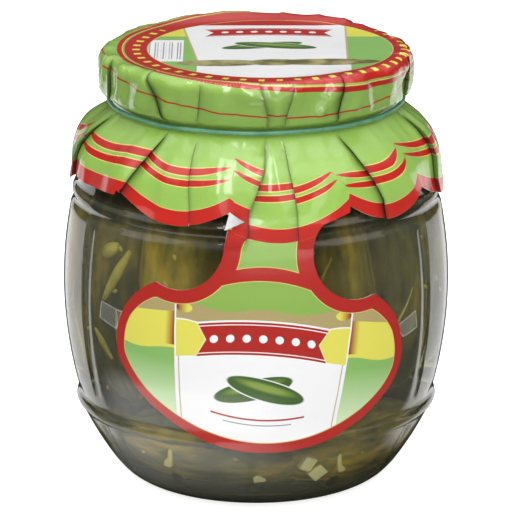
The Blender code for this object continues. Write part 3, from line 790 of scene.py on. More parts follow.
def make_dill():
    """Dill stalks and loose seeds between the gherkins and the wall."""
    draws = random.Random(SEED + 1)
    data = bmesh.new()
    for number in range(LOOSE_STALKS):
        angle = math.radians(number * 360 / LOOSE_STALKS + draws.uniform(-7, 7))
        low = draws.uniform(0.034, 0.062)
        length = draws.uniform(0.018, 0.036)
        lean = draws.uniform(-0.25, 0.25)
        points = []
        for i in range(12):
            x = i / 11
            height = low + length * x
            reach = belly_radius(height) - WALL - 0.0017
            points.append(at(reach, angle + lean * x + 0.03 * math.sin(6 * x + number), height))
        tube(data, points, draws.uniform(0.0005, 0.0008))
    for first, last, radius in STALKS:
        points = []
        for i in range(14):
            x = i / 13
            angle = math.radians(first[0] + (last[0] - first[0]) * x)
            height = first[1] + (last[1] - first[1]) * x
            points.append(at(belly_radius(height) - WALL - radius - 0.0002, angle, height))
        tube(data, points, radius, 12)
    for _ in range(LOOSE_SEEDS):
        angle = draws.uniform(0, 2 * math.pi)
        height = draws.uniform(0.016, 0.085)
        inside = belly_radius(height) - WALL if height > 0.034 else 0.0487 + (height - 0.0165) * 0.42
        place = at(inside - draws.uniform(0.0012, 0.0022), angle, height)
        tilt = Vector([draws.uniform(-1, 1) for _ in range(3)]).normalized() * 0.0009
        tube(data, [place - tilt, place - tilt * 0.5, place, place + tilt * 0.5, place + tilt], 0.0006)
    bmesh.ops.recalc_face_normals(data, faces=data.faces)
    stalk = grained("dill_stalk", (90.0,), (0.40, 0.34, 0.040), (0.70, 0.60, 0.12), Roughness=0.5)
    finished("dill", data, [stalk])


def sheet_radii():
    """(height, radius) pairs of the paper's inner face, from the label's foot to the lid's top edge."""
    label_foot = [(0.0230, 0.0558), (0.0262, 0.0567), (0.0300, 0.0566)]
    heights = (0.034, 0.042, 0.052, 0.062, 0.072, 0.080, 0.086)
    on_belly = [(z, belly_radius(z) + 0.00025) for z in heights]
    over_hoop = [(0.0915, 0.0575), (0.0950, 0.0574), (0.0985, 0.0566), (0.1020, 0.0563)]
    shoulder = [(0.1060, 0.0558), (0.1100, 0.0541), (0.1140, 0.0510), (0.1175, 0.0470)]
    pinch = [(0.1203, PINCH_RADIUS), (0.1227, PINCH_RADIUS)]
    lid_side = [(0.1245, LID_SIDE_RADIUS), (0.1330, LID_SIDE_RADIUS), (TOP_EDGE, LID_SIDE_RADIUS - 0.0003)]
    return label_foot + on_belly + over_hoop + shoulder + pinch + lid_side


def sheet_base_line():
    """Radius and height of the paper's inner face for a list of places up the flat sheet."""
    flat = SHEET_TOP - SHEET_THICKNESS - 0.0001
    ups = np.arange(0.0200, RIM_ROW + FLAT_RADIUS, 0.0002)
    radii = sheet_radii()
    corner = [(TURN_OVER, LID_SIDE_RADIUS - 0.0009), (RIM_ROW, FLAT_RADIUS), (RIM_ROW + FLAT_RADIUS, 0.0)]
    all_radii = radii + corner
    heights = [(0.02, 0.02), (TOP_EDGE, TOP_EDGE), (TURN_OVER, flat - 0.0003), (RIM_ROW, flat), (0.2, flat)]
    radius = np.interp(ups, *zip(*all_radii))
    height = np.interp(ups, *zip(*heights))
    window = np.hanning(9)
    window /= window.sum()
    rounded = [np.convolve(np.pad(line, 4, mode="edge"), window, mode="valid") for line in (radius, height)]
    return ups, rounded[0], rounded[1]


BASE_UPS, BASE_RADII, BASE_HEIGHTS = sheet_base_line()


def sheet_base(up):
    return float(np.interp(up, BASE_UPS, BASE_RADII)), float(np.interp(up, BASE_UPS, BASE_HEIGHTS))


def fold_angle(fold, up):
    top, band, hem = fold[:3]
    return math.radians(mix(((CUSP_HEIGHT, hem), (BAND_HEIGHT, band), (TOP_EDGE, top)), up))


def wrapped(angle):
    return (angle + math.pi) % (2 * math.pi) - math.pi


def pleat(angle, up):
    """How far the pleats lift the paper here, and how far a fold's lap turns it sideways."""
    share = mix(PLEAT_SHARE, up)
    lift, shift = 0.0, 0.0
    if not share:
        return lift, shift
    for fold in FOLDS:
        side, proud = fold[3:]
        off = wrapped(angle - fold_angle(fold, up))
        if off * side > 0:
            lift = max(lift, proud * math.exp(-abs(off) / FOLD_REACH))
            shift -= side * FOLD_LAP / SHEET_RADIUS * math.exp(-abs(off) / LAP_REACH) * proud / 0.0012
    return lift * share, shift * share


def fold_depth(angle, up):
    """How much painted shade a fold gives here: 1 deep in the fold, under its lip, falling to 0 beside it."""
    share = min(1.0, mix(PLEAT_SHARE, up))
    deep = 0.0
    for fold in FOLDS:
        side, proud = fold[3:]
        off = wrapped(angle - fold_angle(fold, up)) * side
        beside = 0.5 if off < 1.5 * FOLD_HALF_WIDTH else 0.0
        here = math.exp(off * SHEET_RADIUS / FOLD_SHADE_REACH) if off < 0 else beside
        deep = max(deep, min(1.0, proud / 0.0010) * here)
    return deep * share


def crease(x, y, z):
    """Noise with sharp ridges, as crumpled paper has, about 0 on average."""
    broad = 0.5 - 2.2 * abs(noise.noise(Vector((x, y, z))))
    fine = 0.5 - 2.2 * abs(noise.noise(Vector((2.3 * x + 9, 2.3 * y, 2.3 * z))))
    return broad + 0.22 * fine


def crumple(angle, up):
    """Small waves of the gathered paper: puckers by the band, soft billows on the skirt, dents on the top."""
    x, y = 9.0 * math.cos(angle), 9.0 * math.sin(angle)
    near_band = math.exp(-abs(up - BAND_HEIGHT) / 0.0050)
    near_band *= smooth_step(abs(up - BAND_HEIGHT), 0.0006, 0.0030)
    pucker = 0.0008 * near_band * crease(x * 0.8, y * 0.8, up * 12)
    skirt = plateau(up, (0.0900, 0.1000), (0.1150, 0.1210))
    billow = 0.0015 * skirt * crease(x * 0.30, y * 0.30, up * 18)
    side = plateau(up, (0.1240, 0.1270), (TOP_EDGE, RIM_ROW + 0.003))
    dent = max(-0.0006, 0.0018 * side * crease(x * 0.46, y * 0.46, up * 60 + 5))
    return pucker + billow + dent


def rim_rise(angle, up):
    """How far the paper's rim stands up off the lid, most at the back, in straight runs between corners."""
    share = plateau(up, (TOP_EDGE - 0.0015, RIM_ROW), (RIM_ROW, RIM_ROW + 0.0090))
    return share * mix(RIM_RISE, math.degrees(wrapped(angle))) if share else 0.0


def hem_curl(angle, up, above_hem):
    """How far the cut edge stands off the glass."""
    if above_hem > 0.010:
        return 0.0
    wave = 0.5 + noise_round(3.1, angle, 7.7)
    return 0.0007 * max(0.0, wave) * math.exp(-max(above_hem, 0.0) / 0.0030) * smooth_step(up, 0.0930, 0.0960)


def sheet_point(around, up, lift, above_hem, pleated=1.0):
    """Point of the paper from its flat layout, lifted off the inner face along the base's normal."""
    angle = around / SHEET_RADIUS
    radius, z = sheet_base(up)
    r0, z0 = sheet_base(up - 0.0004)
    r1, z1 = sheet_base(up + 0.0004)
    slope = Vector((z1 - z0, r0 - r1)).normalized()
    proud, shift = pleat(angle, up)
    proud, shift = proud * pleated, shift * pleated ** 2
    proud += crumple(angle, up) + hem_curl(angle, up, above_hem)
    out = radius + proud * max(0.0, slope.x) + slope.x * lift
    return at(out, angle + shift, z + slope.y * (lift + 0.5 * proud) + rim_rise(angle, up))


def label_to_sheet(across, up):
    turn_x, turn_y = math.cos(LABEL_TILT), math.sin(LABEL_TILT)
    return (LABEL_CENTRE[0] + across * turn_x + up * turn_y, LABEL_CENTRE[1] - across * turn_y + up * turn_x)


def label_side(side, cusp):
    """One side of the label's outline, from the hem's cusp through the notch to the foot."""
    ring = []
    first, last = (0.0, 115.0) if side < 0 else (-35.0, 115.0)
    for i in range(31):
        turn = math.radians(first + (last - first) * i / 30)
        across = NOTCH_CENTRE[0] - NOTCH_RADIUS * math.cos(turn)
        ring.append((across, NOTCH_CENTRE[1] - NOTCH_RADIUS * math.sin(turn)))
    widest = (SIDE_CENTRE[0] + SIDE_RADIUS, SIDE_CENTRE[1])
    ring += arc(LABEL_CORNER, widest, LABEL_HEEL, 34)
    before_heel = len(ring) - 8
    foot_centre = LABEL_FOOT + FOOT_CURVE
    for i in range(1, 41):
        across = LABEL_HEEL[0] * (1 - i / 40)
        ring.append((across, foot_centre - math.sqrt(FOOT_CURVE ** 2 - across ** 2)))
    (x0, y0), (x1, y1), (x2, y2) = ring[before_heel], ring[before_heel + 7], ring[before_heel + 15]
    for i in range(1, 15):
        a, b, c = (1 - i / 15) ** 2, 2 * (1 - i / 15) * i / 15, (i / 15) ** 2
        ring[before_heel + i] = (a * x0 + b * x1 + c * x2, a * y0 + b * y1 + c * y2)
    return [cusp] + [label_to_sheet(side * across, up) for across, up in ring]


def label_outline():
    left, right = CUSPS[FRONT_SCALLOP:FRONT_SCALLOP + 2]
    return label_side(-1, (left, CUSP_HEIGHT - 0.001)) + label_side(1, (right, CUSP_HEIGHT - 0.002))[-2::-1]


def scallop_hem(number, around, left, right):
    """Height of the hem's cut at this place of a scallop, and how far the stripes have tapered off there."""
    x = 2 * (around - left) / (right - left) - 1
    if number == LEFT_FLAP and around < FLAP_EDGE:
        return flap_hem(around, left)
    if number == LEFT_FLAP:
        return CUSP_HEIGHT + LEFT_CUSP_RISE, 0.3
    height = CUSP_HEIGHT - SCALLOP_DEPTH * (1 - x * x)
    if number == LEFT_SCALLOP:
        return height + LEFT_CUSP_RISE * ((1 - x) / 2) ** 2, max(0.3, x)
    return height, min(1.0, abs(x))


def flap_hem(around, left):
    """Height of the hem's cut on the left flap, and how far the stripes have tapered off there."""
    share = min(1.0, (around - left) / (FLAP_EDGE - left))
    return FLAP_HEM - FLAP_SAG * math.sin(share * math.pi), 1 - share


def hem_outline():
    """The sheet's cut edge from the seam at the back round the front to the seam again."""
    edge = []
    for number, (left, right) in enumerate(zip(CUSPS, CUSPS[1:])):
        if number == FRONT_SCALLOP:
            edge += label_outline()
            continue
        places = [left + (right - left) * i / 36 for i in range(36)]
        if number == LEFT_FLAP:
            places = [x for x in places if abs(x - FLAP_EDGE) > 0.0002] + [FLAP_EDGE - 1e-5, FLAP_EDGE + 1e-5]
        edge += [(x, scallop_hem(number, x, left, right)[0]) for x in sorted(places)]
    over = [(x - 2 * SEAM, y) for x, y in edge if x > SEAM]
    height = CUSP_HEIGHT - SCALLOP_DEPTH / 2
    line = [(-SEAM, height)] + over + [point for point in edge if -SEAM < point[0] < SEAM] + [(SEAM, height)]
    return [tuple(point) for point in even(line, FLAT_STEP * 0.8)]


def crossings(points, ring):
    """Whether each point is inside the ring, and its distance from it."""
    inside = np.zeros(len(points), bool)
    nearest = np.full(len(points), np.inf)
    x, y = points[:, 0], points[:, 1]
    for (x0, y0), (x1, y1) in zip(ring, np.roll(ring, -1, axis=0)):
        length = (x1 - x0) ** 2 + (y1 - y0) ** 2
        t = np.clip(((x - x0) * (x1 - x0) + (y - y0) * (y1 - y0)) / max(length, 1e-18), 0, 1)
        nearest = np.minimum(nearest, np.hypot(x - x0 - t * (x1 - x0), y - y0 - t * (y1 - y0)))
        if y0 != y1:
            inside ^= ((y0 > y) != (y1 > y)) & (x < x0 + (x1 - x0) * (y - y0) / (y1 - y0))
    return inside, nearest


def flat_rows():
    """Places up the sheet of its rows of points, closer where it turns."""
    rows = list(np.arange(0.0216, 0.1190, FLAT_STEP)) + list(np.arange(0.1194, 0.1256, 0.0007))
    rows += list(np.arange(0.1266, 0.1346, FLAT_STEP)) + list(np.arange(TOP_EDGE, RIM_ROW + 0.0005, 0.0006))
    rows += [RIM_ROW + 0.0012 * i for i in range(1, 6)] + [RIM_ROW + 0.0072 + 0.0026 * i for i in range(14)]
    return rows


def flat_layout():
    """Points and triangles of the cover laid out flat, with an edge along both sides of each fold."""
    rows = flat_rows()
    last = rows[-1] + 0.0020
    columns = round(2 * SEAM / FLAT_STEP)
    hem = hem_outline()
    sides = [y for y in rows if y > CUSP_HEIGHT]
    outline = hem + [(SEAM, y) for y in sides] + [(SEAM - 2 * SEAM * i / 80, last) for i in range(81)]
    outline += [(-SEAM, y) for y in reversed(sides)]
    grid = []
    for number, y in enumerate(rows):
        thin = 1 if y < RIM_ROW + 0.0062 else 2 if y < RIM_ROW + 0.026 else 4
        step = 2 * SEAM / columns * thin
        start = -SEAM + step * (0.5 if number % 2 and thin == 1 else 1.0)
        grid += [(x, y) for x in np.arange(start, SEAM - step * 0.3, step)]
    grid = np.array(grid)
    inside, distance = crossings(grid, np.array(outline))
    keep = inside & (distance > 0.0005)
    fold_lines = []
    for fold in FOLDS:
        heights = [y for y in rows if 0.0900 < y < RIM_ROW + 0.004]
        centre = np.array([fold_angle(fold, y) * SHEET_RADIUS for y in heights])
        near = np.abs(grid[:, 0] - np.interp(grid[:, 1], heights, centre)) < 0.0007
        keep &= ~(near & (grid[:, 1] > heights[0] - 0.001) & (grid[:, 1] < heights[-1] + 0.001))
        for side in (-1, 1):
            line = np.column_stack([centre + side * FOLD_HALF_WIDTH * SHEET_RADIUS, heights])
            clear, far = crossings(line, np.array(outline))
            fold_lines.append([tuple(p) for p in line[clear & (far > 0.0003)]])
    points = outline + [tuple(point) for point in grid[keep]]
    edges = [(i, (i + 1) % len(outline)) for i in range(len(outline))]
    for line in fold_lines:
        edges += [(len(points) + i, len(points) + i + 1) for i in range(len(line) - 1)]
        points += line
    found = delaunay_2d_cdt([Vector(p) for p in points], edges, [list(range(len(outline)))], 1, 1e-7)
    return [(v.x, v.y) for v in found[0]], [tuple(face) for face in found[2]], hem


def print_hem(around, up):
    """Height of the printed hem line here, how far along its scallop this is, and how low its stripes lie."""
    cusps = list(CUSPS)
    for number, lean in CUSP_LEANS.items():
        cusps[number] += lean * smooth_step(up, CUSP_HEIGHT, CUSP_HEIGHT + 0.0150)
    if around < cusps[0]:
        around += 2 * SEAM
    number = max(i for i in range(len(cusps) - 1) if around >= cusps[i] or i == 0)
    left, right = cusps[number:number + 2]
    along = min(1.0, abs(2 * (around - left) / (right - left) - 1))
    if number in (LEFT_FLAP, LEFT_SCALLOP):
        if around < fold_angle(LEFT_FOLD, up) * SHEET_RADIUS:
            return *flap_hem(around, cusps[LEFT_FLAP]), STRIPE_DROPS[LEFT_FLAP]
        left, right = cusps[LEFT_SCALLOP:LEFT_SCALLOP + 2]
        height, along = scallop_hem(LEFT_SCALLOP, max(around, left), left, right)
        return height, along, stripe_drop(LEFT_SCALLOP, around, left, right)
    if number == FRONT_SCALLOP:
        front = FRONT_HEM + FRONT_HEM_CURVE * (around - FRONT_HEM_MIDDLE) ** 2
        flap = CUSP_HEIGHT - 0.0010 - 0.5 * (around - left)
        if around > fold_angle(TONGUE_FOLD, up) * SHEET_RADIUS:
            return front, along, stripe_drop(number, around, left, right)
        return (flap, along, 0.0) if up > flap else (max(front, up - BORDER / 2), 1.0, 0.0)
    height, along = scallop_hem(number, around, left, right)
    return height, along, stripe_drop(number, around, left, right)


def stripe_drop(number, around, left, right):
    """How far the stripes of a scallop lie below their usual height over its hem, most towards its ends."""
    x = min(1.0, max(-1.0, 2 * (around - left) / (right - left) - 1))
    flatten = STRIPE_FLATTEN.get(number, (0.0, 0.0))[0 if x < 0 else 1]
    return STRIPE_DROPS.get(number, 0.0) + flatten * x * x


def lid_line(angle):
    """Place up the sheet of the thin line printed round the lid's side."""
    return LID_LINE_HEIGHT - LID_LINE_TILT * math.cos(angle - LID_LINE_TURN)


def stripe_shift(angle, up):
    """How far the print is offset from one pleat to the next."""
    edges = sorted(fold_angle(fold, up) for fold in FOLDS)
    number = sum(1 for edge in edges if angle > edge) % len(edges)
    return PLEAT_OFFSET * math.sin(2.4 * number + 1.0)


def make_paper():
    """The whole cover as one thin sheet: its two sides, its cut edge and the middle of the lid's top."""
    flat, faces, hem = flat_layout()
    left_of = {round(y, 6): i for i, (x, y) in enumerate(flat) if abs(x + SEAM) < 1e-6}
    joined = {i: left_of[round(y, 6)] for i, (x, y) in enumerate(flat) if abs(x - SEAM) < 1e-6}
    faces = [tuple(joined.get(i, i) for i in face) for face in faces]
    _, from_edge = crossings(np.array(flat), np.array(hem))
    data = bmesh.new()
    layers = {name: data.verts.layers.float_vector.new(name) for name in ("skirt", "label", "top")}
    # The fold layer holds how much painted shade each point gets in a fold
    deep = data.verts.layers.float.new("fold")
    used = sorted({i for face in faces for i in face})
    turn_x, turn_y = math.cos(LABEL_TILT), math.sin(LABEL_TILT)
    sheets = [{}, {}]
    for i in used:
        around, up = flat[i]
        angle = around / SHEET_RADIUS
        hem_up, along, drop = print_hem(around, up)
        x, y = around - LABEL_CENTRE[0], up - LABEL_CENTRE[1]
        reach = FLAT_RADIUS + RIM_ROW - up
        shift = stripe_shift(angle, up)
        above_hem = up - hem_up if up > 0.090 else 1.0
        for sheet, lift, pleated in zip(sheets, (0.0, SHEET_THICKNESS), (INNER_PLEAT, 1.0)):
            vert = data.verts.new(sheet_point(around, up, lift, above_hem, pleated))
            vert[layers["skirt"]] = (up - hem_up, up - hem_up + drop + shift, along)
            vert[layers["label"]] = (x * turn_x - y * turn_y, x * turn_y + y * turn_x, from_edge[i])
            spot = turned_by(angle) * reach
            vert[layers["top"]] = (spot.x, spot.y, up - lid_line(angle) + 0.5 * shift)
            vert[deep] = fold_depth(angle, up) if up > 0.090 else 0.0
            sheet[i] = vert
    middle_z = sheet_base(RIM_ROW + 0.040)[1]
    middles = [data.verts.new((0, 0, middle_z)), data.verts.new((0, 0, middle_z + SHEET_THICKNESS))]
    inner, outer = sheets
    last = max(y for _, y in flat)
    edges = thick_sheet(data, inner, outer, faces, 1)
    at_middle = [edge for edge in edges if min(flat[i][1] for i in edge) > last - 1e-6]
    close_edges(data, inner, outer, [edge for edge in edges if edge not in at_middle], 1)
    for a, b in at_middle:
        data.faces.new((outer[b], outer[a], middles[1]))
        data.faces.new((inner[a], inner[b], middles[0])).material_index = 1
    back = bare_paper_material()
    finished("printed_cover", data, [printed_material(), back], ["paper_cover"], 38)
    make_turned_corner(back)


def make_turned_corner(material):
    """Corner of the hem beside the label's tongue, turned up so that its white back shows, with painted shade
    over it.
    """
    steps = 10
    data = bmesh.new()
    shade = data.verts.layers.float.new("fold")
    sheets = [{}, {}]
    for sheet, lift in zip(sheets, (0.0, SHEET_THICKNESS)):
        for i in range(steps + 1):
            for j in range(steps + 1 - i):
                x, y = i / steps, j / steps
                weights = (1 - x - y, y, x)
                around, up = (sum(w * corner[k] for w, corner in zip(weights, TURNED_CORNER)) for k in (0, 1))
                bulge = 0.0014 * x * x + 0.0004 * math.sin(math.pi * y)
                radius = sheet_base(up)[0] + TURNED_LIFT + bulge + lift
                sheet[i, j] = data.verts.new(at(radius, around / SHEET_RADIUS, up))
                # Painted shade, darker across the corner towards its right-hand tip
                sheet[i, j][shade] = 0.13 + 0.14 * y
    faces = [((i, j), (i, j + 1), (i + 1, j)) for i in range(steps) for j in range(steps - i)]
    faces += [((i, j + 1), (i + 1, j + 1), (i + 1, j)) for i in range(steps) for j in range(steps - i - 1)]
    close_edges(data, *sheets, thick_sheet(data, *sheets, faces))
    bmesh.ops.recalc_face_normals(data, faces=data.faces)
    finished("turned_corner", data, [material], smooth_to=40)


def bare_paper_material():
    tree = Tree("paper_back")
    fibre = tree.noise(900.0)
    colour = tree.ramp(fibre, (0.3, (0.62, 0.62, 0.61)), (0.7, (0.72, 0.72, 0.71)))
    # Painted shade: near black where the fold layer is high, in the folds and over the turned corner
    colour = tree.blend(tree.over(tree.attribute("fold"), 0.25, 0.20), colour, (0.012, 0.014, 0.010))
    tree.surface((fibre, 0.00005, 0.4), Base_Color=colour, Roughness=0.6, Specular_IOR_Level=0.2)
    return tree.material


def ellipse(tree, x, y, centre, radii, tilt=0.0):
    """Value that is 1 on an ellipse's outline and less inside it."""
    dx, dy = x - centre[0], y - centre[1]
    turn_x, turn_y = math.cos(tilt), math.sin(tilt)
    along = dx * (turn_x / radii[0]) + dy * (turn_y / radii[0])
    across = dy * (turn_x / radii[1]) - dx * (turn_y / radii[1])
    return tree.length(along, across)


def draw_banner(tree, colour, x, y, centre, half_width, half_height, arch):
    """A plain red ribbon with a white rule and a row of white dots, slightly arched."""
    dx = x - centre[0]
    dy = y - centre[1] + dx * dx * arch
    across, up = abs(dx), abs(dy)
    notch = half_width - (half_height - up) * 0.55
    rim = tree.under(across, half_width + 0.0006) * tree.under(up, half_height + 0.0006)
    shape = tree.under(across, notch) * tree.under(up, half_height)
    pitch = half_height * 0.95
    cell = tree.math("FRACT", dx / pitch + 40.5) - 0.5
    dot = tree.under(tree.length(cell * pitch, dy), half_height * 0.24)
    return tree.paint(
        colour,
        (rim * tree.under(across, notch, 0.0006), WHITE),
        (shape, RED),
        (shape * tree.between(up, half_height - 0.0010, half_height - 0.0007), WHITE),
        (dot * tree.under(across, half_width * 0.82), WHITE),
    )


def draw_gherkins(tree, colour, x, y, centre, size):
    """Two plain gherkins that cross, each with a pale flank."""
    for side, tilt in ((-1, 0.30), (1, -0.24)):
        middle = (centre[0] + side * 0.16 * size, centre[1])
        body = ellipse(tree, x, y, middle, (size, size * 0.27), tilt)
        flank = ellipse(tree, x, y, (middle[0], middle[1] + size * 0.07), (size * 0.80, size * 0.12), tilt)
        colour = tree.paint(
            colour,
            (tree.under(body, 1.09, 0.03), WHITE),
            (tree.under(body, 1.0, 0.03), GHERKIN_INK),
            (tree.under(flank, 0.8, 0.3) * 0.85, GHERKIN_LIGHT),
        )
    return colour


def draw_skirt(tree, colour):
    """The skirt: a border along the hem and two stripes over it in each scallop, with pale outlines."""
    above, shifted, along = tree.parts(tree.attribute("skirt", "Vector"))
    room = 1.0 - along ** 5.0
    for low, high in STRIPES:
        half = (high - low) / 2
        off = abs(shifted - (low + high) / 2)
        outline = room * (half + 2 * OUTLINE) - OUTLINE
        colour = tree.blend(tree.under(off, outline), colour, PALE_YELLOW)
        colour = tree.blend(tree.under(off, room * half), colour, RED)
    outline = tree.between(above, -OUTLINE, BORDER + OUTLINE * 0.6)
    return tree.paint(colour, (outline, PALE_YELLOW), (tree.between(above, 0.0, BORDER), RED))


def draw_label_fields(tree, u, v):
    """The label inside its border: fields of yellow and green, and a white panel in the middle."""
    side = abs(u)
    wave = tree.math("COSINE", side * 230.0) * 0.0010
    fields = tree.paint(
        tree.blend(tree.over(v, -0.0185, 0.0095), PALE_GREEN, SIDE_GREEN),
        (tree.over(v, wave - 0.0060), YELLOW),
        (tree.under(side, 0.0290, 0.0016) * tree.over(v, wave - 0.0050), DARK_RED),
        (tree.over(v, 0.0104 - side * 0.135), KHAKI),
    )
    panel_edge = v * 0.045 + 0.0269
    ripple = tree.math("COSINE", side * 260.0) * 0.0007
    knob = ellipse(tree, side, v, (0.0247, 0.0084), (0.0026, 0.0015))
    panel = tree.paint(
        WHITE,
        (tree.between(side, panel_edge - 0.0011, panel_edge - 0.0007), TAN),
        (tree.over(v, -0.0046 - u * u * 4.0), YELLOW),
        (tree.over(v, ripple + 0.0038), WHITE),
        (tree.over(v, ripple + 0.0042), KHAKI),
        (tree.over(v, ripple + 0.0096), GREEN),
        (tree.under(knob, 1.0, 0.04), tree.blend(tree.over(side, 0.0252, 0.0018), YELLOW, DARK_RED)),
    )
    panel = draw_gherkins(tree, panel, u, v, (0.0, -0.0155), 0.0125)
    panel = draw_banner(tree, panel, u, v, (0.0, 0.0012), 0.0200, 0.0052, 6.0)
    rule = v - u * u * 7.0
    panel = tree.paint(
        panel,
        (tree.between(rule, -0.0258, -0.0252) * tree.under(side, 0.0150), RED),
        (tree.between(rule, -0.0275, -0.0271) * tree.under(side, 0.0110), GREY),
    )
    return tree.paint(
        fields, (tree.under(side, panel_edge + 0.0005), WHITE), (tree.under(side, panel_edge), panel)
    )


def draw_label(tree, colour):
    """The label and its tongue: a red border round the fields, and a window of plain green."""
    u, v, edge = tree.parts(tree.attribute("label", "Vector"))
    above = tree.parts(tree.attribute("skirt", "Vector"))[0]
    width = tree.over(v, 0.0060, 0.0040) * (BORDER - SIDE_BORDER) + SIDE_BORDER
    squared = tree.least(u * u, TONGUE_HALF_WIDTH ** 2)
    room = tree.least(edge - width, 0.0189 - squared * 13.5 - v)
    window = tree.least(edge - 0.0056, v - (0.0235 - squared * 15.6), above * -1.0)
    region = tree.paint(
        RED,
        (tree.over(window, -OUTLINE), PALE_YELLOW),
        (tree.over(window, 0.0), GREEN),
        (tree.over(room, -OUTLINE), PALE_YELLOW),
        (tree.over(room, 0.0), draw_label_fields(tree, u, v)),
    )
    return tree.blend(tree.under(above, 0.0) * tree.under(v, 0.034), colour, region)


def draw_top(tree, colour):
    """The line round the lid's side, and the lid's top: rings with marks on them round a field."""
    x, y, over_line = tree.parts(tree.attribute("top", "Vector"))
    dx, dy = x - TOP_PRINT_CENTRE[0], y - TOP_PRINT_CENTRE[1]
    far = tree.length(dx, dy)
    turn = tree.math("ARCTAN2", dx, dy * -1.0)
    cell = abs(tree.math("FRACT", turn * 7.5) - 0.5)
    marks = tree.under(cell, 0.17, 0.01) * tree.between(far, 0.0403, 0.0426) * tree.under(abs(turn), 2.2)
    return tree.paint(
        colour,
        (tree.between(over_line, -0.00025, 0.00025), RED),
        (tree.under(far, 0.0474), RED),
        (tree.under(far, 0.0459), PALE_YELLOW),
        (tree.under(far, 0.0456), GREEN),
        (tree.under(far, 0.0451), RED),
        (marks, YELLOW),
        (tree.under(far, 0.0381), PALE_YELLOW),
        (tree.under(far, 0.0378), draw_top_field(tree, x, y)),
    )


def draw_top_field(tree, x, y):
    """Inside the rings: bands of yellow and red, a white panel, a block of bars and a strip of gherkins."""
    left = -0.0195 - y * 0.11
    fine = tree.under(tree.math("FRACT", x * 1150.0), 0.42, 0.05)
    wide = tree.under(tree.math("FRACT", x * 410.0), 0.62, 0.05)
    block = tree.between(x, -0.0332, -0.0224) * tree.between(y, -0.0180, 0.0100)
    panel = draw_banner(tree, WHITE, x, y, (0.0040, 0.0215), 0.0200, 0.0048, 5.0)
    panel = draw_gherkins(tree, panel, x, y, (0.0040, 0.0030), 0.0130)
    field = tree.paint(
        SIDE_GREEN,
        (tree.between(y, 0.0150, 0.0290), YELLOW),
        (block, WHITE),
        (block * fine * wide * tree.between(y, -0.0150, 0.0070), GREY),
        (tree.over(x, left - 0.0006) * tree.under(x, 0.0284), TAN),
        (tree.over(x, left) * tree.under(x, 0.0278), panel),
        (tree.under(y, -0.0200) * tree.between(x, -0.0180, 0.0290), WHITE),
    )
    mottled = tree.ramp(tree.noise(140.0), (0.4, (0.13, 0.12, 0.03)), (0.6, (0.40, 0.36, 0.16)))
    for middle, half in TOP_STRIP:
        lying = ellipse(tree, x, y, middle, (half, 0.0041), 0.03)
        field = tree.blend(tree.under(lying, 1.0, 0.04), field, mottled)
    return tree.blend(tree.over(y, 0.0300), field, RED)


def printed_material():
    tree = Tree("printed_gloss_paper")
    colour = draw_top(tree, draw_label(tree, draw_skirt(tree, GREEN)))
    deep = tree.attribute("fold")
    height = tree.parts(tree.place())[2]
    # Painted shade: darker on the lid's side, on the label's lower part and deep in the folds, over a slight
    # random tone
    tone = tree.paint(
        tree.ramp(tree.noise(70.0), (0.3, (0.93, 0.93, 0.93)), (0.7, (1.0, 1.0, 1.0))),
        (tree.between(height, BAND_HEIGHT, TOP_EDGE, 0.0012), (LID_SIDE_TONE,) * 3),
        (tree.under(height, LABEL_TOP, 0.0020), (LABEL_TONE,) * 3),
        (deep * FOLD_SHADE, (0.04, 0.04, 0.04)),
    )
    crinkle = tree.noise(190.0, 4.0, roughness=0.6)
    tree.surface(
        (crinkle, 0.00025, 0.35), Base_Color=tree.tinted(colour, tone), Roughness=deep * 0.6 + 0.32,
        Specular_IOR_Level=0.40, Coat_Weight=0.70 - deep * 0.70, Coat_Roughness=0.09, Coat_IOR=1.6
    )
    return tree.material


def make_band():
    """Rubber band round the neck, a little uneven in height."""
    around, across = 180, 12
    data = bmesh.new()
    loops = []
    for i in range(around):
        angle = 2 * math.pi * i / around
        height = BAND_HEIGHT + 0.0005 * (1 - math.cos(angle)) + 0.0004 * noise_round(2.5, angle, 3.0)
        loop = []
        for j in range(across):
            turn = 2 * math.pi * j / across
            radius = BAND_RADIUS + BAND_THICKNESS * 0.5 * math.cos(turn)
            loop.append(data.verts.new(at(radius, angle, height + BAND_THICKNESS * 0.52 * math.sin(turn))))
        loops.append(loop)
    bridge(data, loops + loops[:1])
    bmesh.ops.recalc_face_normals(data, faces=data.faces)
    rubber = grained(
        "band_rubber", (260.0,), (0.060, 0.200, 0.120), (0.105, 0.280, 0.180), (0.0001, 0.4),
        Roughness=0.38, Subsurface_Weight=0.15, Subsurface_Scale=0.001
    )
    finished("band", data, [rubber], ["rubber_band"])


def tape_material():
    tree = Tree("clear_film")
    streaks = tree.noise(500.0, 2.0, (1.0, 1.0, 0.2))
    alpha = tree.attribute("rim") ** 3.0 * 0.28 + 0.035
    tree.surface((streaks, 0.0001, 0.5), Base_Color=(0.80, 0.82, 0.80), Roughness=0.20, IOR=1.45, Alpha=alpha)
    return tree.material


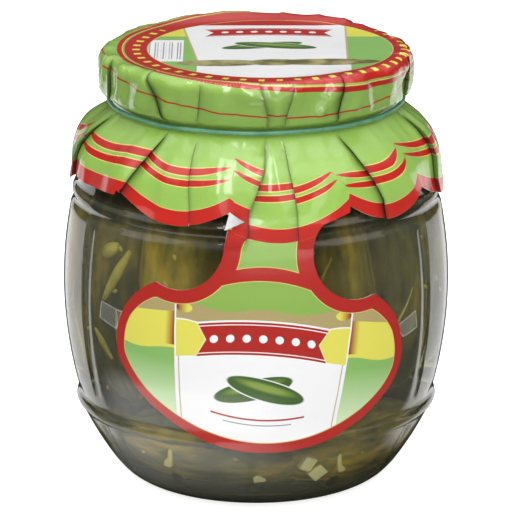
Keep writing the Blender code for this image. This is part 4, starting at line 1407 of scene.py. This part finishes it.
def make_tape(name, corners, material, hem):
    """Film tab bent over the label's edge on to the glass."""
    columns, rows = 18, 12
    spots = []
    for i in range(columns + 1):
        for j in range(rows + 1):
            x, y = i / columns, j / rows
            top = [a + (b - a) * x for a, b in zip(corners[0], corners[1])]
            foot = [a + (b - a) * x for a, b in zip(corners[3], corners[2])]
            spots.append([a + (b - a) * y for a, b in zip(foot, top)])
    inside, distance = crossings(np.array(spots), np.array(hem))
    data = bmesh.new()
    rim_layer = data.verts.layers.float.new("rim")
    sheets = [[], []]
    for sheet, lift in zip(sheets, (0.0, TAPE_THICKNESS)):
        for number, ((around, up), within, far) in enumerate(zip(spots, inside, distance)):
            on_label = smooth_step(-far if within else far, -0.0002, 0.0012)
            radius = belly_radius(up) + 0.00012 + 0.00042 * on_label + lift
            vert = data.verts.new(at(radius, around / SHEET_RADIUS, up))
            column, row = divmod(number, rows + 1)
            vert[rim_layer] = 1.0 if column in (0, columns) or row in (0, rows) else 0.0
            sheet.append(vert)
    stride = rows + 1
    starts = [i * stride + j for i in range(columns) for j in range(rows)]
    faces = [(k, k + stride, k + stride + 1, k + 1) for k in starts]
    close_edges(data, *sheets, thick_sheet(data, *sheets, faces))
    bmesh.ops.recalc_face_normals(data, faces=data.faces)
    finished(f"film_{name}", data, [material], [name], 50)


def dress_lid():
    lacquer = grained(
        "lacquered_lid", (220.0, 4.0), (0.50, 0.42, 0.22), (0.60, 0.52, 0.30), (0.0001, 0.3),
        Roughness=0.35, Metallic=0.8
    )
    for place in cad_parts["lid"].material_slots:
        place.material = lacquer


def make_camera():
    data = bpy.data.cameras.new("camera")
    data.lens, data.sensor_width = LENS, SENSOR
    data.clip_end = 50.0
    target = Vector((0.0, 0.0, VIEW_HEIGHT))
    away = Vector((0.0, -math.cos(VIEW_ELEVATION), math.sin(VIEW_ELEVATION)))
    bpy.context.scene.camera = aimed("camera", data, target + away * VIEW_DISTANCE, target)


def make_lamp(name, place, target, size, power):
    data = bpy.data.lights.new(name, "AREA")
    data.shape, data.size, data.size_y = "RECTANGLE", *size
    data.energy = power
    aimed(name, data, place, target)


def floor_material():
    """Pale floor. In gloss and glass it is dark but for the ground before the jar and two wedges behind."""
    tree = Tree("pale_floor")
    path = tree.node("ShaderNodeLightPath")
    kinds = ("Is Glossy Ray", "Is Transmission Ray", "Is Camera Ray")
    glossy, passed, shown = (tree.read(path, kind) for kind in kinds)
    x, y, _ = tree.parts(tree.place())
    side = abs(x)
    inner, outer = (y * spread + start for start, spread in (WEDGE_INNER, WEDGE_OUTER))
    wedges = tree.over(side, inner, 0.004) * tree.under(side, outer, 0.006) * tree.over(y, -0.02, 0.01)
    near = tree.between(tree.length(x, y), FLOOR_FOOT, FLOOR_NEAR, 0.01) * tree.under(y, -0.01, 0.02)
    near = near * tree.most(tree.under(x, 0.012, 0.022), 0.10)
    seen = tree.most(wedges, near, FLOOR_ELSEWHERE)
    plain = 1.0 - tree.most(glossy, passed)
    share = tree.most(plain, glossy * seen, passed * tree.most(seen, FLOOR_SEEN_THROUGH))
    shade = tree.ramp(tree.noise(3.0), (0.3, (0.88, 0.88, 0.88)), (0.7, (0.90, 0.90, 0.90)))
    tree.surface(
        Base_Color=tree.blend(share, (0.0, 0.0, 0.0), shade), Roughness=0.8, Specular_IOR_Level=0.0,
        Emission_Color=(1.0, 1.0, 1.0), Emission_Strength=share * FLOOR_GLOW + shown * FLOOR_SHOWN_GLOW
    )
    return tree.material


def make_studio():
    data = bmesh.new()
    bmesh.ops.create_grid(data, x_segments=1, y_segments=1, size=6.0)
    mesh = bpy.data.meshes.new("floor")
    data.to_mesh(mesh)
    data.free()
    mesh.materials.append(floor_material())
    floor = placed("floor", mesh)
    floor.location = (0.0, 0.0, -0.0002)
    world = bpy.data.worlds.new("studio")
    world.use_nodes = True
    nodes, links = world.node_tree.nodes, world.node_tree.links
    background = nodes["Background"]
    background.inputs["Color"].default_value = (1.0, 1.0, 1.0, 1.0)
    direction = nodes.new("ShaderNodeTexCoord")
    parts = nodes.new("ShaderNodeSeparateXYZ")
    links.new(direction.outputs["Generated"], parts.inputs[0])
    fade = nodes.new("ShaderNodeMapRange")
    for name, value in zip(("From Min", "From Max", "To Min", "To Max"), WORLD_FADE):
        fade.inputs[name].default_value = value
    links.new(parts.outputs["Z"], fade.inputs["Value"])
    path = nodes.new("ShaderNodeLightPath")
    shown = nodes.new("ShaderNodeMix")
    shown.inputs[3].default_value = BACKDROP
    links.new(path.outputs["Is Camera Ray"], shown.inputs[0])
    links.new(fade.outputs[0], shown.inputs[2])
    links.new(shown.outputs[0], background.inputs["Strength"])
    bpy.context.scene.world = world
    bpy.context.scene.view_settings.view_transform = "Standard"
    for lamp in LAMPS:
        make_lamp(*lamp)


make_camera()
make_studio()
make_glass()
make_brine()
make_gherkins()
make_core()
make_chunks()
make_dill()
make_paper()
make_band()
film = tape_material()
for tape_name, tape_corners in TAPES.items():
    make_tape(tape_name, tape_corners, film, hem_outline())
dress_lid()
